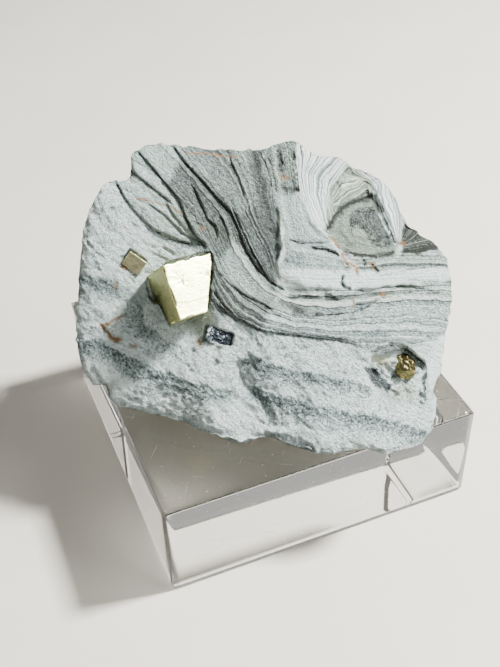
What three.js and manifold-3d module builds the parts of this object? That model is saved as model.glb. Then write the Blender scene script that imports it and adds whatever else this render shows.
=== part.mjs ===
// Pyrite crystals in folded, banded matrix, resting on a clear block. Millimetres, +Z up.
// The origin is the centre of the block's bottom face, and X runs along the block's front edge.

import * as THREE from 'three';
import { mergeVertices } from 'three/addons/utils/BufferGeometryUtils.js';
import { ConvexGeometry } from 'three/addons/geometries/ConvexGeometry.js';
import Module from 'manifold-3d';

const wasm = await Module();
wasm.setup();

// Driving dimensions of the block
const BLOCK_WIDTH = 72;
const BLOCK_DEPTH = 74;
const BLOCK_HEIGHT = 25.4;
const BLOCK_CHAMFER = 0.5;

// Clearance between pieces that touch
const GAP = 0.3;

// The rock's face leans back. Its own frame has x across the face, y up the face and z out of it.
const FACE_ORIGIN = new THREE.Vector3(-2.8, -10.9, 50.5);
const FACE_TURN = THREE.MathUtils.degToRad(21.5);
const FACE_RISE = THREE.MathUtils.degToRad(42);

// A point of the rock is laid out on the face plane, then set forward or back on its line to EYE
const EYE = new THREE.Vector3(-3.3, -11.8, 210.9);

// Crystals: edge lengths, and places and turns (degrees) in the face's frame
const LARGE_CUBE = { edge: [11.5, 11.5, 11.5], at: [-17.0, 2.4, -4.2], turn: [-8.2, 25.2, 18.5] };
const SMALL_CUBE = { edge: [4.6, 3.5, 4.2], at: [-27.7, 9.3, -6.2], turn: [10, -8, -36] };
const CRUSTED_CUBE = { edge: [5.6, 3.4, 4], at: [-9.9, -7.3, -3.4], turn: [6, -4, -22] };
const BROKEN_CRYSTAL_AT = [29.0, -14.7, -3.6];
const BROKEN_CRYSTAL_POINTS = [
  [-2.6, 2.0, 1.2], [0.6, 2.9, 1.0], [3.2, -0.8, 0.6], [1.3, -2.9, 0.4], [-1.0, 0.2, 2.3],
  [1.4, -0.6, 2.0], [-3.0, -0.4, -0.2], [-3.0, 2.4, -2.4], [2.6, 2.6, -2.4], [3.0, -2.6, -2.4],
  [-2.6, -2.4, -2.4],
];

// Grid cells along each side of the face sheet and of the back sheet, which has half as many
const FACE_CELLS = 56;
const BACK_CELLS = FACE_CELLS / 2;

// The wall between the two sheets: how far its rings are drawn in, as a share of the outline
const WALL_RINGS = [0.985, 0.962];
const BACK_RIM = 0.94;
const MIN_WALL = 0.8;

// Outline of the face, going round from the upper left
const OUTLINE = [
  [-27.6, 31.8], [-22.2, 34.3], [-17.6, 33.8], [-10.8, 32.7], [0, 32.5], [7.5, 34.0], [9.3, 32.6],
  [12.5, 30.4], [16.5, 30.3], [19.8, 28.1], [24.2, 25.9], [28.1, 21.5], [30.7, 15.7], [33.1, 13.5],
  [37.3, 10.5], [39.7, 5.3], [39.9, 0.2], [38.4, -7.8], [37.8, -12.8], [37.5, -16.2], [35.5, -20.1],
  [36.1, -22.2], [34.2, -29.5], [27.6, -32.7], [23.5, -33.3], [19.1, -32.5], [12.8, -33.2],
  [-1.0, -29.1], [-4.6, -30.0], [-12.9, -27.7], [-22.3, -24.1], [-31.1, -21.8], [-33.8, -19.6],
  [-34.6, -17.5], [-36.7, -17.2], [-38.8, -14.4], [-40.2, -11.0], [-40.3, -4.4], [-40.1, 2.3],
  [-39.0, 11.8], [-37.2, 19.2], [-34.8, 24.0], [-32.1, 26.7], [-28.7, 26.6], [-27.8, 28.7],
];

// Spot heights of the broad form, as across, up, out. Nearby ones are blended over SPOT_REACH.
const SPOT_REACH = 4.2;
const SPOTS = [
  [-37, 16, -6.5], [-38, 4, -7], [-38, -8, -7.5], [-30, 18, -4.6], [-30, 8, -5], [-30, -2, -5.6],
  [-25, 9, -5], [-25, 0, -6], [-20, -7, -4.4], [-20, 14, -3.6], [-14, 13, -2.8], [-27, 30, -6.5],
  [-22, 25, -4.2], [-20, 33, -6], [-15, 24, -2.6], [-10, 31, -4.5], [-10, 18, -1.6], [-4, 28, -3],
  [-4, 17, -1.4], [-8, 4, -0.4], [-3, -1, 0.2], [0, 9, -1.2], [0, 21, -2.6], [1, 31, -4.6],
  [7.5, 32, -3.2], [7.5, 25, -1.6], [12, 27, -3], [17, 28, -4], [6, 17, 0.8], [11, 12, 1.4],
  [9, 4, 1.6], [15, 0, 1.5], [20, 14, 0], [26, 21, -2.4], [29, 16, -2.4], [37, 10, -5.5],
  [32, 11, -2.6], [22, 4, 1.3], [30, 3, 0.2], [38, 4, -4.5], [22, -4, 1.2], [31, -5, 0],
  [38, -5, -4.5], [6, -4, 0.8], [14, -5, 1.2], [-8, -12, -1.4], [2, -13, 0], [12, -14, 0.5],
  [20, -18, 0.6], [30, -20, -0.6], [37, -18, -6], [-14, -16, -2.4], [-25, -14, -4.6],
  [-35, -14, -7.8], [-30, -20, -7.6], [-20, -24, -5.4], [-8, -23, -2.0], [-4, -29, -2.2],
  [4, -22, -0.6], [4, -29, -1.4], [13, -25, 0.8], [14, -32, 2.4], [22, -31, 2.4], [29, -29, 1.4],
  [35, -26, -2.5],
];

// Creases and ridges. Each dents the face along its line by dent (less than 0 raises it) and lifts
// the side to its left, looking along the line, by lift, which dies away over reach.
const CREASES = [
  // Fan of lobes that meet above the large cube
  { line: [[-30.9, 25.6], [-27.0, 19.3], [-23.1, 15.4], [-19.5, 13.4], [-13.2, 11.6]],
    dent: 0.9, width: 1.0, lift: 1.7, reach: 3.5 },
  { line: [[-27.9, 28.3], [-24.3, 25.2], [-18.3, 20.4]], dent: 0.6, width: 0.9, lift: 1.0, reach: 3 },
  { line: [[-24.4, 30.1], [-20.1, 24.7], [-17.8, 21.7], [-14.6, 14.1], [-11.6, 10.7]],
    dent: 0.9, width: 1.0, lift: 1.4, reach: 3 },
  { line: [[-18.4, 32.7], [-12.9, 25.8], [-6.9, 18.8], [-3.7, 10.5], [1.2, 4.0]],
    dent: 1.2, width: 1.2, lift: 2.0, reach: 5 },
  { line: [[-15.0, 25.4], [-11.8, 17.3], [-9.6, 13.0]], dent: 0.6, width: 0.9, lift: 0.8, reach: 2 },
  { line: [[-6.4, 29.2], [-5.0, 26.0], [-3.7, 21.5]], dent: 0.6, width: 0.9, lift: 0.9, reach: 3 },
  // Layers that sweep down and turn level
  { line: [[-6.7, 20.7], [-2.3, 9.8], [1.0, 4.0], [4.9, 1.4]], dent: 0.9, width: 0.9, lift: 0.9, reach: 3 },
  { line: [[-9.8, 4.9], [-4.8, 1.4], [1.8, -3.9]], dent: 0.5, width: 0.9, lift: 0.6, reach: 3 },
  { line: [[-11.6, 2.2], [-6.6, -3.6], [-0.4, -6.8], [7.4, -8.0], [15.8, -9.1], [21.4, -11.7]],
    dent: 0.8, width: 1.0, lift: 1.3, reach: 4 },
  // Crack down the top edge, and the upright left edge of the flat slab
  { line: [[-0.6, 32.3], [1.2, 28.0], [2.0, 23.9]], dent: 0.8, width: 0.9, lift: 0.3, reach: 2 },
  { line: [[2.4, 22.0], [3.2, 17.7], [3.3, 11.1], [2.5, 6.7], [3.4, 2.4]],
    dent: 0.4, width: 0.9, lift: 2.0, reach: 7 },
  // Edge between the slab and the pale banded facet
  { line: [[7.4, 33.0], [8.0, 22.7], [10.6, 16.2], [13.9, 13.2], [16.5, 9.1], [20.4, 3.9]],
    dent: -1.1, width: 1.3, lift: 0, reach: 1 },
  // Bright ridge at the upper right
  { line: [[23.0, 26.0], [26.4, 18.0], [28.4, 11.0]], dent: -2.0, width: 1.9, lift: 0, reach: 1 },
  // Layers under the eye
  { line: [[2.9, 4.6], [16.4, 2.0], [22.3, 2.6], [36.5, 3.0]], dent: -0.7, width: 1.5, lift: 0, reach: 1 },
  { line: [[6.0, 0.4], [15.0, -0.4], [24.0, 0.4], [35.0, 0.6]], dent: 0.6, width: 0.8, lift: 0, reach: 1 },
  { line: [[4.0, -2.6], [12.0, -3.6], [20.0, -3.0], [29.0, -2.2]], dent: 0.4, width: 0.8, lift: 0, reach: 1 },
  // Edge of the rounded lobe at the bottom
  { line: [[-6.9, -12.3], [-5.5, -18.0], [-2.0, -21.5], [-0.5, -25.3], [-1.0, -28.9]],
    dent: 0.5, width: 1.0, lift: -1.6, reach: 5 },
];

// Patches of the face that are raised or sunk by level, over an edge of the given width
const PATCHES = [
  // The eye, with its upper lid
  { edge: [[18.0, 27.0], [23.0, 24.0], [25.0, 17.1], [27.8, 10.7], [24.7, 8.9], [16.5, 9.6],
    [13.6, 14.0], [13.7, 18.9]], level: -2.6, width: 1.3 },
  { edge: [[18.0, 26.0], [22.8, 23.6], [23.6, 22.0], [17.5, 20.2], [14.2, 16.6], [14.0, 19.5]],
    level: 1.3, width: 0.9 },
  // Dark hollow at the top edge
  { edge: [[-0.4, 34], [6.9, 34], [7.6, 23.0], [2.4, 22.6]], level: -1.4, width: 1.0 },
  // Brown hollow by the right edge
  { edge: [[29.4, 15.4], [34, 14.4], [40.0, 9.8], [28.8, 9.0]], level: -1.3, width: 1.0 },
  // The pit with the broken crystal
  { edge: [[21.2, -15.3], [24.8, -20.3], [27.9, -22.0], [32.9, -22.2], [33.6, -15.2], [29.4, -11.0],
    [22.6, -13.0]], level: -5.6, width: 1.8 },
];
const EYEBALL = { at: [20.2, 14.2], radius: 5.2, rise: 2.4 };

// Facets of the back, each a plane: out = level + across * x + up * y. The outermost one counts.
const BACK_FACETS = [
  { level: -37, across: -0.08, up: 0.62 },
  { level: -56, across: -1.0, up: 0.25 },
  { level: -58, across: 1.1, up: -0.15 },
  { level: -50, across: -0.5, up: 0.85 },
  { level: -53, across: 0.55, up: 0.9 },
  { level: -43, across: 0.35, up: 0.25 },
];
const RIM_DROP = 1.0;
const RIM_REACH = 1.3;
const FACE_ROUGHNESS = 0.16;
const BACK_ROUGHNESS = 0.7;
const BACK_STRETCH = 0.45;
const WALL_ROUGHNESS = 0.42;
const WALL_FULL_ROUGHNESS_FROM = 6;
const RING_SHIFT = 9;

// Steps along the smooth outline, and the share of a crease's line over which its ends die out
const OUTLINE_STEPS = 900;
const CREASE_FADE = 0.12;

const FINISHES = {
  rock: { color: 0xa9b0ac, roughness: 0.9, metalness: 0 },
  pyrite: { color: 0xcfc48e, roughness: 0.3, metalness: 1 },
  crust: { color: 0x2c3238, roughness: 0.6, metalness: 0.5 },
  clear: { color: 0xe8ecec, roughness: 0.05, metalness: 0 },
};

// The face's frame as a rotation, and the level plane that the rock rests on
const across = new THREE.Vector3(Math.cos(FACE_TURN), -Math.sin(FACE_TURN), 0);
const outward = new THREE.Vector3(
  -Math.sin(FACE_TURN) * Math.cos(FACE_RISE),
  -Math.cos(FACE_TURN) * Math.cos(FACE_RISE),
  Math.sin(FACE_RISE),
);
const upward = new THREE.Vector3().crossVectors(outward, across);
const faceRotation = new THREE.Matrix4().makeBasis(across, upward, outward);

// Height above the block's bottom of a point given in the face's frame
function standingHeight(point) {
  return FACE_ORIGIN.z + point.y * upward.z + point.z * outward.z;
}

// Point of the rock laid out at (x, y) on the face plane, set out by the given amount
function setOut(x, y, out) {
  return new THREE.Vector3(x, y, 0).lerp(EYE, out / EYE.z);
}

// How far out the resting plane lies at (x, y)
function restingOut(x, y) {
  const here = standingHeight(new THREE.Vector3(x, y, 0));
  return EYE.z * (BLOCK_HEIGHT + GAP - here) / (standingHeight(EYE) - here);
}

// The outline as radius by angle, read off a smooth closed curve
const rimCurve = new THREE.CatmullRomCurve3(
  OUTLINE.map(([x, y]) => new THREE.Vector3(x, y, 0)), true, 'centripetal');
const rim = rimCurve.getPoints(OUTLINE_STEPS).slice(0, -1)
  .map((point) => ({ angle: Math.atan2(point.y, point.x), radius: Math.hypot(point.x, point.y) }))
  .sort((a, b) => a.angle - b.angle);

function rimRadius(angle) {
  let next = rim.findIndex((entry) => entry.angle > angle);
  if (next < 0) next = 0;
  const after = rim[next];
  const before = rim[(next + rim.length - 1) % rim.length];
  const turn = 2 * Math.PI;
  const span = (after.angle - before.angle + turn) % turn || 1;
  const share = ((angle - before.angle + turn) % turn) / span;
  return before.radius + (after.radius - before.radius) * share;
}

// A square's point (s, t), each from -1 to 1, drawn out to a disc and then to the rock's outline
function squareToOutline(s, t, scale) {
  const x = s * Math.sqrt(1 - t * t / 2);
  const y = t * Math.sqrt(1 - s * s / 2);
  const radius = rimRadius(Math.atan2(y, x));
  return { x: x * radius * scale, y: y * radius * scale, inside: radius * (1 - Math.hypot(x, y)) };
}

function smooth(value) {
  const t = THREE.MathUtils.clamp(value, 0, 1);
  return t * t * (3 - 2 * t);
}

// Nearest point of a line of points: its distance, side (+1 to the left) and share of the way along
function nearest(line, x, y, closed) {
  let best = { distance: Infinity, side: 1, along: 0 };
  const count = closed ? line.length : line.length - 1;
  for (let i = 0; i < count; i += 1) {
    const [ax, ay] = line[i];
    const [bx, by] = line[(i + 1) % line.length];
    const dx = bx - ax;
    const dy = by - ay;
    const t = THREE.MathUtils.clamp(((x - ax) * dx + (y - ay) * dy) / (dx * dx + dy * dy), 0, 1);
    const distance = Math.hypot(x - ax - t * dx, y - ay - t * dy);
    if (distance < best.distance) {
      const side = Math.sign(dx * (y - ay) - dy * (x - ax)) || 1;
      best = { distance, side, along: (i + t) / count };
    }
  }
  return best;
}

function insidePolygon(edge, x, y) {
  let inside = false;
  edge.forEach(([ax, ay], i) => {
    const [bx, by] = edge[(i + 1) % edge.length];
    if ((ay > y) !== (by > y) && x < (bx - ax) * (y - ay) / (by - ay) + ax) inside = !inside;
  });
  return inside;
}

// A crease's dent, and the lift of the side to its left, both dying out at the line's ends
function creaseHeight(crease, x, y) {
  const { distance, side, along } = nearest(crease.line, x, y, false);
  const ends = smooth(along / CREASE_FADE) * smooth((1 - along) / CREASE_FADE);
  const dent = -crease.dent * Math.exp(-((distance / crease.width) ** 2));
  const rise = smooth(distance / crease.width) * Math.exp(-distance / crease.reach);
  return ends * (dent + (side > 0 ? crease.lift * rise : 0));
}

function patchHeight(patch, x, y) {
  const { distance } = nearest(patch.edge, x, y, true);
  const inward = insidePolygon(patch.edge, x, y) ? distance : -distance;
  return patch.level * smooth(0.5 + inward / patch.width);
}

// Mean of the spot heights, each weighted by its nearness
function broadHeight(x, y) {
  let sum = 0;
  let weights = 0;
  SPOTS.forEach(([spotX, spotY, out]) => {
    const weight = Math.exp(-((x - spotX) ** 2 + (y - spotY) ** 2) / (2 * SPOT_REACH ** 2)) + 1e-9;
    sum += weight * out;
    weights += weight;
  });
  return sum / weights;
}

// A rise and fall between -1 and 1 with no plain repeat, for uneven broken surfaces. It is the mean
// of four waves across and up the face, whose numbers are radians per millimetre.
function uneven(x, y) {
  return (Math.sin(0.83 * x + 1.3 * Math.sin(0.41 * y)) + Math.sin(0.71 * y - 0.62 * x + 2.1)
    + Math.sin(1.37 * x + 1.13 * y + Math.sin(0.5 * x)) + Math.sin(1.71 * y - 0.3 * x)) / 4;
}

function faceOut(x, y, inside) {
  let out = broadHeight(x, y);
  CREASES.forEach((crease) => { out += creaseHeight(crease, x, y); });
  PATCHES.forEach((patch) => { out += patchHeight(patch, x, y); });
  const fromEyeball = Math.hypot(x - EYEBALL.at[0], y - EYEBALL.at[1]) / EYEBALL.radius;
  out += EYEBALL.rise * smooth(1.2 - fromEyeball);
  out -= RIM_DROP * Math.exp(-inside / RIM_REACH);
  out += FACE_ROUGHNESS * uneven(x, y);
  return Math.max(out, restingOut(x, y) + MIN_WALL);
}

function backOut(x, y) {
  const facets = BACK_FACETS.map((facet) => facet.level + facet.across * x + facet.up * y);
  return Math.max(...facets) + BACK_ROUGHNESS * uneven(BACK_STRETCH * x, BACK_STRETCH * y);
}

// Grid place (i, j) of the k-th point round the edge of a square of the given cells
function edgePlace(k, cells) {
  const side = Math.floor(k / cells);
  const step = k % cells;
  return [[step, 0], [cells, step], [cells - step, cells], [0, cells - step]][side];
}

// The rock as one closed skin: a face sheet, a wall of rings, and a coarser back sheet
function rockGeometry() {
  const points = [];
  const faces = [];
  const add = (x, y, out) => points.push(...setOut(x, y, out).toArray()) / 3 - 1;
  const span = (a, b) => Math.hypot(...[0, 1, 2].map((axis) => points[3 * a + axis] - points[3 * b + axis]));

  function sheet(cells, scale, outAt, flip) {
    const grid = [];
    for (let j = 0; j <= cells; j += 1) {
      for (let i = 0; i <= cells; i += 1) {
        const { x, y, inside } = squareToOutline(2 * i / cells - 1, 2 * j / cells - 1, scale);
        grid.push(add(x, y, outAt(x, y, inside)));
      }
    }
    for (let j = 0; j < cells; j += 1) {
      for (let i = 0; i < cells; i += 1) {
        const a = grid[j * (cells + 1) + i];
        const b = grid[j * (cells + 1) + i + 1];
        const c = grid[(j + 1) * (cells + 1) + i + 1];
        const d = grid[(j + 1) * (cells + 1) + i];
        const pair = span(a, c) < span(b, d) ? [[a, b, c], [a, c, d]] : [[a, b, d], [b, c, d]];
        pair.forEach(([e, f, g]) => faces.push(...(flip ? [e, g, f] : [e, f, g])));
      }
    }
    return Array.from({ length: 4 * cells }, (_, k) => {
      const [i, j] = edgePlace(k, cells);
      return grid[j * (cells + 1) + i];
    });
  }

  // Where the k-th rim point lies, drawn in by scale, and the rock's front and back there
  function rimPoint(k, scale) {
    const [i, j] = edgePlace(k, FACE_CELLS);
    return squareToOutline(2 * i / FACE_CELLS - 1, 2 * j / FACE_CELLS - 1, scale);
  }
  function rimFront(k) {
    const { x, y } = rimPoint(k, 1);
    return faceOut(x, y, 0);
  }
  function backRimOut(x, y, front) {
    return Math.max(Math.min(backOut(x, y), front - MIN_WALL), restingOut(x, y));
  }

  const faceRim = sheet(FACE_CELLS, 1, faceOut, false);
  const backRim = sheet(BACK_CELLS, BACK_RIM, (x, y) => {
    const front = faceOut(x / BACK_RIM, y / BACK_RIM, 0);
    return backRimOut(x, y, front);
  }, true);

  // Rings of the wall, from the face's rim towards the back
  let ring = faceRim;
  WALL_RINGS.forEach((scale, level) => {
    const share = (level + 1) / (WALL_RINGS.length + 1);
    const next = ring.map((_, k) => {
      const { x, y } = rimPoint(k, scale);
      const back = rimPoint(k, BACK_RIM);
      const front = rimFront(k);
      const rear = backRimOut(back.x, back.y, front);
      const tallness = Math.min(1, (front - rear) / WALL_FULL_ROUGHNESS_FROM);
      const bulge = WALL_ROUGHNESS * tallness * uneven(x, y + RING_SHIFT * level);
      const out = THREE.MathUtils.lerp(front, rear, share) + bulge;
      return add(x, y, Math.max(out, restingOut(x, y)));
    });
    ring.forEach((a, k) => {
      const b = ring[(k + 1) % ring.length];
      const c = next[(k + 1) % ring.length];
      faces.push(a, c, b, a, next[k], c);
    });
    ring = next;
  });
  backRim.forEach((d, k) => {
    const a = ring[2 * k];
    const b = ring[2 * k + 1];
    const c = ring[(2 * k + 2) % ring.length];
    const e = backRim[(k + 1) % backRim.length];
    faces.push(a, d, b, b, e, c, b, d, e);
  });

  const geometry = new THREE.BufferGeometry();
  geometry.setAttribute('position', new THREE.Float32BufferAttribute(points, 3));
  geometry.setIndex(faces);
  return geometry;
}

// A box crystal, grown by the given clearance on every side and set in the face's frame
function cubeGeometry({ edge, at, turn }, clearance) {
  const geometry = new THREE.BoxGeometry(...edge.map((length) => length + 2 * clearance));
  const angles = turn.map((angle) => THREE.MathUtils.degToRad(angle));
  geometry.applyMatrix4(new THREE.Matrix4().makeRotationFromEuler(new THREE.Euler(...angles, 'XYZ')));
  geometry.translate(...at);
  return geometry;
}

// The broken crystal: a convex lump, with its points pushed out from its middle by the clearance
function brokenGeometry(clearance) {
  const points = BROKEN_CRYSTAL_POINTS.map(([x, y, z]) => {
    const point = new THREE.Vector3(x, y, z);
    return point.setLength(point.length() + clearance);
  });
  const geometry = new ConvexGeometry(points);
  geometry.translate(...BROKEN_CRYSTAL_AT);
  return geometry;
}

function toSolid(geometry) {
  const plain = geometry.clone();
  plain.deleteAttribute('normal');
  plain.deleteAttribute('uv');
  const merged = mergeVertices(plain, 1e-4);
  return new wasm.Manifold(new wasm.Mesh({
    numProp: 3,
    vertProperties: new Float32Array(merged.attributes.position.array),
    triVerts: new Uint32Array(merged.index.array),
  }));
}

function fromSolid(solid) {
  const mesh = solid.getMesh();
  const geometry = new THREE.BufferGeometry();
  geometry.setAttribute('position', new THREE.Float32BufferAttribute(mesh.vertProperties, 3));
  geometry.setIndex(Array.from(mesh.triVerts));
  return geometry;
}

// The rock with a pocket for each crystal
function matrixGeometry() {
  const pockets = [
    cubeGeometry(LARGE_CUBE, GAP),
    cubeGeometry(SMALL_CUBE, GAP),
    cubeGeometry(CRUSTED_CUBE, GAP),
    brokenGeometry(1.5 * GAP),
  ];
  const rock = pockets.reduce((solid, pocket) => solid.subtract(toSolid(pocket)), toSolid(rockGeometry()));
  return fromSolid(rock);
}

// The block: a square slab with every edge chamfered, standing on z = 0
function blockGeometry() {
  const x = BLOCK_WIDTH / 2 - BLOCK_CHAMFER;
  const y = BLOCK_DEPTH / 2 - BLOCK_CHAMFER;
  const outline = new THREE.Shape([
    new THREE.Vector2(-x, -y), new THREE.Vector2(x, -y), new THREE.Vector2(x, y), new THREE.Vector2(-x, y),
  ]);
  const geometry = new THREE.ExtrudeGeometry(outline, {
    depth: BLOCK_HEIGHT - 2 * BLOCK_CHAMFER,
    bevelThickness: BLOCK_CHAMFER,
    bevelSize: BLOCK_CHAMFER,
    bevelSegments: 1,
  });
  geometry.translate(0, 0, BLOCK_CHAMFER);
  return geometry;
}

function piece(name, geometry, finish) {
  const mesh = new THREE.Mesh(geometry, new THREE.MeshStandardMaterial(finish));
  mesh.name = name;
  return mesh;
}

const specimen = new THREE.Group();
specimen.position.copy(FACE_ORIGIN);
specimen.quaternion.setFromRotationMatrix(faceRotation);
specimen.add(piece('matrix', matrixGeometry(), FINISHES.rock));
specimen.add(piece('large_cube', cubeGeometry(LARGE_CUBE, 0), FINISHES.pyrite));
specimen.add(piece('small_cube', cubeGeometry(SMALL_CUBE, 0), FINISHES.pyrite));
specimen.add(piece('crusted_cube', cubeGeometry(CRUSTED_CUBE, 0), FINISHES.crust));
specimen.add(piece('broken_crystal', brokenGeometry(0), FINISHES.pyrite));

const model = new THREE.Group();
model.add(piece('display_block', blockGeometry(), FINISHES.clear));
model.add(specimen);

export default model;
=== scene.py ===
"""Pyrite crystals in folded, banded matrix on a clear display block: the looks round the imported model.

The rock is one closed skin of a face, a wall and a back. The face carries creases, ledges, the eye-shaped
fold and the pit, and its colours come from attributes that are painted along the same lines. Lengths inside
the functions are millimetres, and meshes are written in metres.
"""

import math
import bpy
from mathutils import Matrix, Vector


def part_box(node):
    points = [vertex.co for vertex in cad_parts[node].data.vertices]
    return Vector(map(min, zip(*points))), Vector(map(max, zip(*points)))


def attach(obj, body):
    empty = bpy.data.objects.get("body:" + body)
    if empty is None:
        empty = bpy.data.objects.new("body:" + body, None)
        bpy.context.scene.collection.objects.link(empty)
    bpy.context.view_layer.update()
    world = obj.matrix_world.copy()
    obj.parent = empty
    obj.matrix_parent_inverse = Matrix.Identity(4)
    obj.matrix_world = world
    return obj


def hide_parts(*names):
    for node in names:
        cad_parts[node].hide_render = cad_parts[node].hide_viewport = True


bl_info = {
    "name": "Pyrite Specimen",
    "version": (1, 0, 0),
    "blender": (4, 5, 0),
    "location": "View3D > Sidebar > Specimen",
    "description": "Builds the banded rock, its pyrite crystals, the clear block and the studio",
    "category": "Object",
}

import bpy
import numpy as np
from mathutils import Matrix, Vector

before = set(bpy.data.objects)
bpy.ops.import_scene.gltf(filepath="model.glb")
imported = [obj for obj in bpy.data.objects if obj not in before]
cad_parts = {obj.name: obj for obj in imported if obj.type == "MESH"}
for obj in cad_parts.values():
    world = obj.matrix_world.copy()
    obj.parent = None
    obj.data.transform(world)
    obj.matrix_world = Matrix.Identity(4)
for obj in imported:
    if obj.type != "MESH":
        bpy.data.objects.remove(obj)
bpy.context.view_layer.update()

MM = 0.001
BODY = "root"
# The rock's foot stands this far above the block
GAP = 0.3

# The block's size comes from the frame, in millimetres
BLOCK_LOW, BLOCK_HIGH = (np.array(corner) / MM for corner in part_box("display_block"))
BLOCK_TOP = float(BLOCK_HIGH[2])

# The rock's face leans back. Its own frame has x across the face, y up the face and z out of it.
FACE_ORIGIN = np.array([-2.8, -10.9, 50.5])
FACE_TURN = math.radians(21.5)
FACE_RISE = math.radians(42)
ACROSS = np.array([math.cos(FACE_TURN), -math.sin(FACE_TURN), 0])
OUTWARD = np.array([
    -math.sin(FACE_TURN) * math.cos(FACE_RISE),
    -math.cos(FACE_TURN) * math.cos(FACE_RISE),
    math.sin(FACE_RISE),
])
UPWARD = np.cross(OUTWARD, ACROSS)
FACE_AXES = np.array([ACROSS, UPWARD, OUTWARD])

# A point of the rock is laid out on the face plane, then set forward or back on its line to EYE
EYE = np.array([-3.3, -11.8, 210.9])

# Crystals: edge lengths, places and turns (degrees) in the face's frame, grid cells along each side and
# rounding of the edges
LARGE_CUBE = {"edge": (11.5, 12.0, 11.5), "at": (-17.0, 2.6, -4.2), "turn": (-8.2, 25.2, 18.5),
              "cells": 64, "rounding": 0.16}
SMALL_CUBE = {"edge": (4.6, 3.5, 4.2), "at": (-27.7, 9.3, -6.4), "turn": (10, -8, -36),
              "cells": 28, "rounding": 0.12}
CRUSTED_CUBE = {"edge": (5.6, 3.4, 4), "at": (-9.9, -7.3, -3.4), "turn": (6, -4, -22),
                "cells": 30, "rounding": 0.25}
# The plane that cuts off the large cube's right side, as a point on it and its direction
CUBE_CUT_AT = np.array([-11.05, 10.1, -1.74])
CUBE_CUT_FACING = np.array([0.90, -0.166, -0.404])
# The large cube's relief: steps with a wavy drift, pits and chips along its edges
STEP_HEIGHT, DRIFT_HEIGHT = 0.06, 0.024
PIT_DEPTH = 0.12
CHIP_DEPTH, LEFT_CHIP_DEPTH = 0.25, 0.45

# The broken crystal: its place, and its planes as direction and distance from its middle. It is longer by
# BROKEN_STRETCH along BROKEN_LEAN.
BROKEN_CRYSTAL_AT = (28.9, -14.6, -3.2)
BROKEN_PLANES = np.array([
    [0, 0.15, 1, 1.9], [0.75, 0.25, 0.6, 2.3], [-0.7, 0.3, 0.65, 1.75], [0.1, -0.8, 0.6, 2],
    [-0.15, 0.8, 0.6, 2.1], [-0.6, -0.55, 0.6, 1.9], [0.95, -0.1, 0, 2.75], [-0.97, 0.1, 0, 2.5],
    [-0.75, -0.7, 0.1, 2.3], [0.7, 0.75, 0.1, 2.6], [-0.7, 0.75, 0.2, 2.4], [0.6, -0.8, 0.1, 2.7],
    [0.05, 0.98, 0, 2.3], [-0.05, -0.98, 0, 2.4], [0, 0, -1, 2.3],
])
BROKEN_LEAN = (0.5, -1.0, 0.0)
BROKEN_STRETCH = 0.32
BROKEN_CELLS = 44

# The block: grid cells along each side, refraction, the roughness of its polish, and what scratches and
# dust add to that
BLOCK_CELLS = 40
ACRYLIC_IOR = 1.49
POLISH, SCRATCH_WEAR, DUST_WEAR = 0.02, 0.4, 0.5

# Camera that was fitted to the block's corners: its place in metres, and its own right, down and forward
CAMERA_AT = Vector((-0.066227, -0.162851, 0.182903))
CAMERA_RIGHT = Vector((0.92391929, -0.38207791, -0.01973892))
CAMERA_DOWN = Vector((-0.26303391, -0.59689517, -0.75797712))
CAMERA_FORWARD = Vector((0.27782425, 0.70550169, -0.6519824))
CAMERA_LENS = 53.97
SENSOR_WIDTH = 36
CLIP_START = 0.01
FLOOR_HALF = 1600
# A thin layer of air under the block, so that its bottom face mirrors the light inside it
FLOOR_DROP = 0.25
# Square light panels, as name, place, side (both in metres) and the setting that holds their power. They
# face LIGHT_TARGET. The small one at the upper right grazes the rock's face.
PANELS = (
    ("Key panel", (0.39, -0.08, 0.52), 0.09, "key_power"),
    ("Front panel", (0.36, -0.33, 0.36), 0.27, "front_power"),
    ("Left panel", (-0.46, -0.02, 0.42), 0.25, "left_power"),
)
LIGHT_TARGET = Vector((0, -0.005, 0.045))

# Outline of the face, going round from the upper left
OUTLINE = np.array([
    [-27.6, 31.8], [-22.2, 34.3], [-17.6, 33.8], [-10.8, 32.7], [0, 32.5], [7.5, 34], [9.3, 32.6],
    [12.5, 30.4], [16.5, 30.3], [19.8, 28.1], [24.2, 25.9], [28.1, 21.5], [30.7, 15.7], [33.1, 13.5],
    [37.3, 10.5], [39.7, 5.3], [39.9, 0.2], [38.4, -7.8], [37.8, -12.8], [37.5, -16.2], [35.5, -20.1],
    [36.1, -22.2], [34.2, -29.5], [27.6, -32.7], [23.5, -33.3], [19.1, -32.5], [12.8, -33.2],
    [4, -30.7], [-0.4, -29.2], [-2.4, -29.2], [-4.9, -30], [-7.6, -29.6], [-12.9, -27.7], [-22.3, -24.1],
    [-31.1, -21.8], [-33.8, -19.6], [-34.6, -17.5], [-36.7, -17.2], [-38.8, -14.4], [-40.2, -11],
    [-40.3, -4.4], [-40.1, 2.3], [-39, 11.8], [-37.2, 19.2], [-34.8, 24], [-32.1, 26.7], [-28.7, 26.6],
    [-27.8, 28.7],
])

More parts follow.
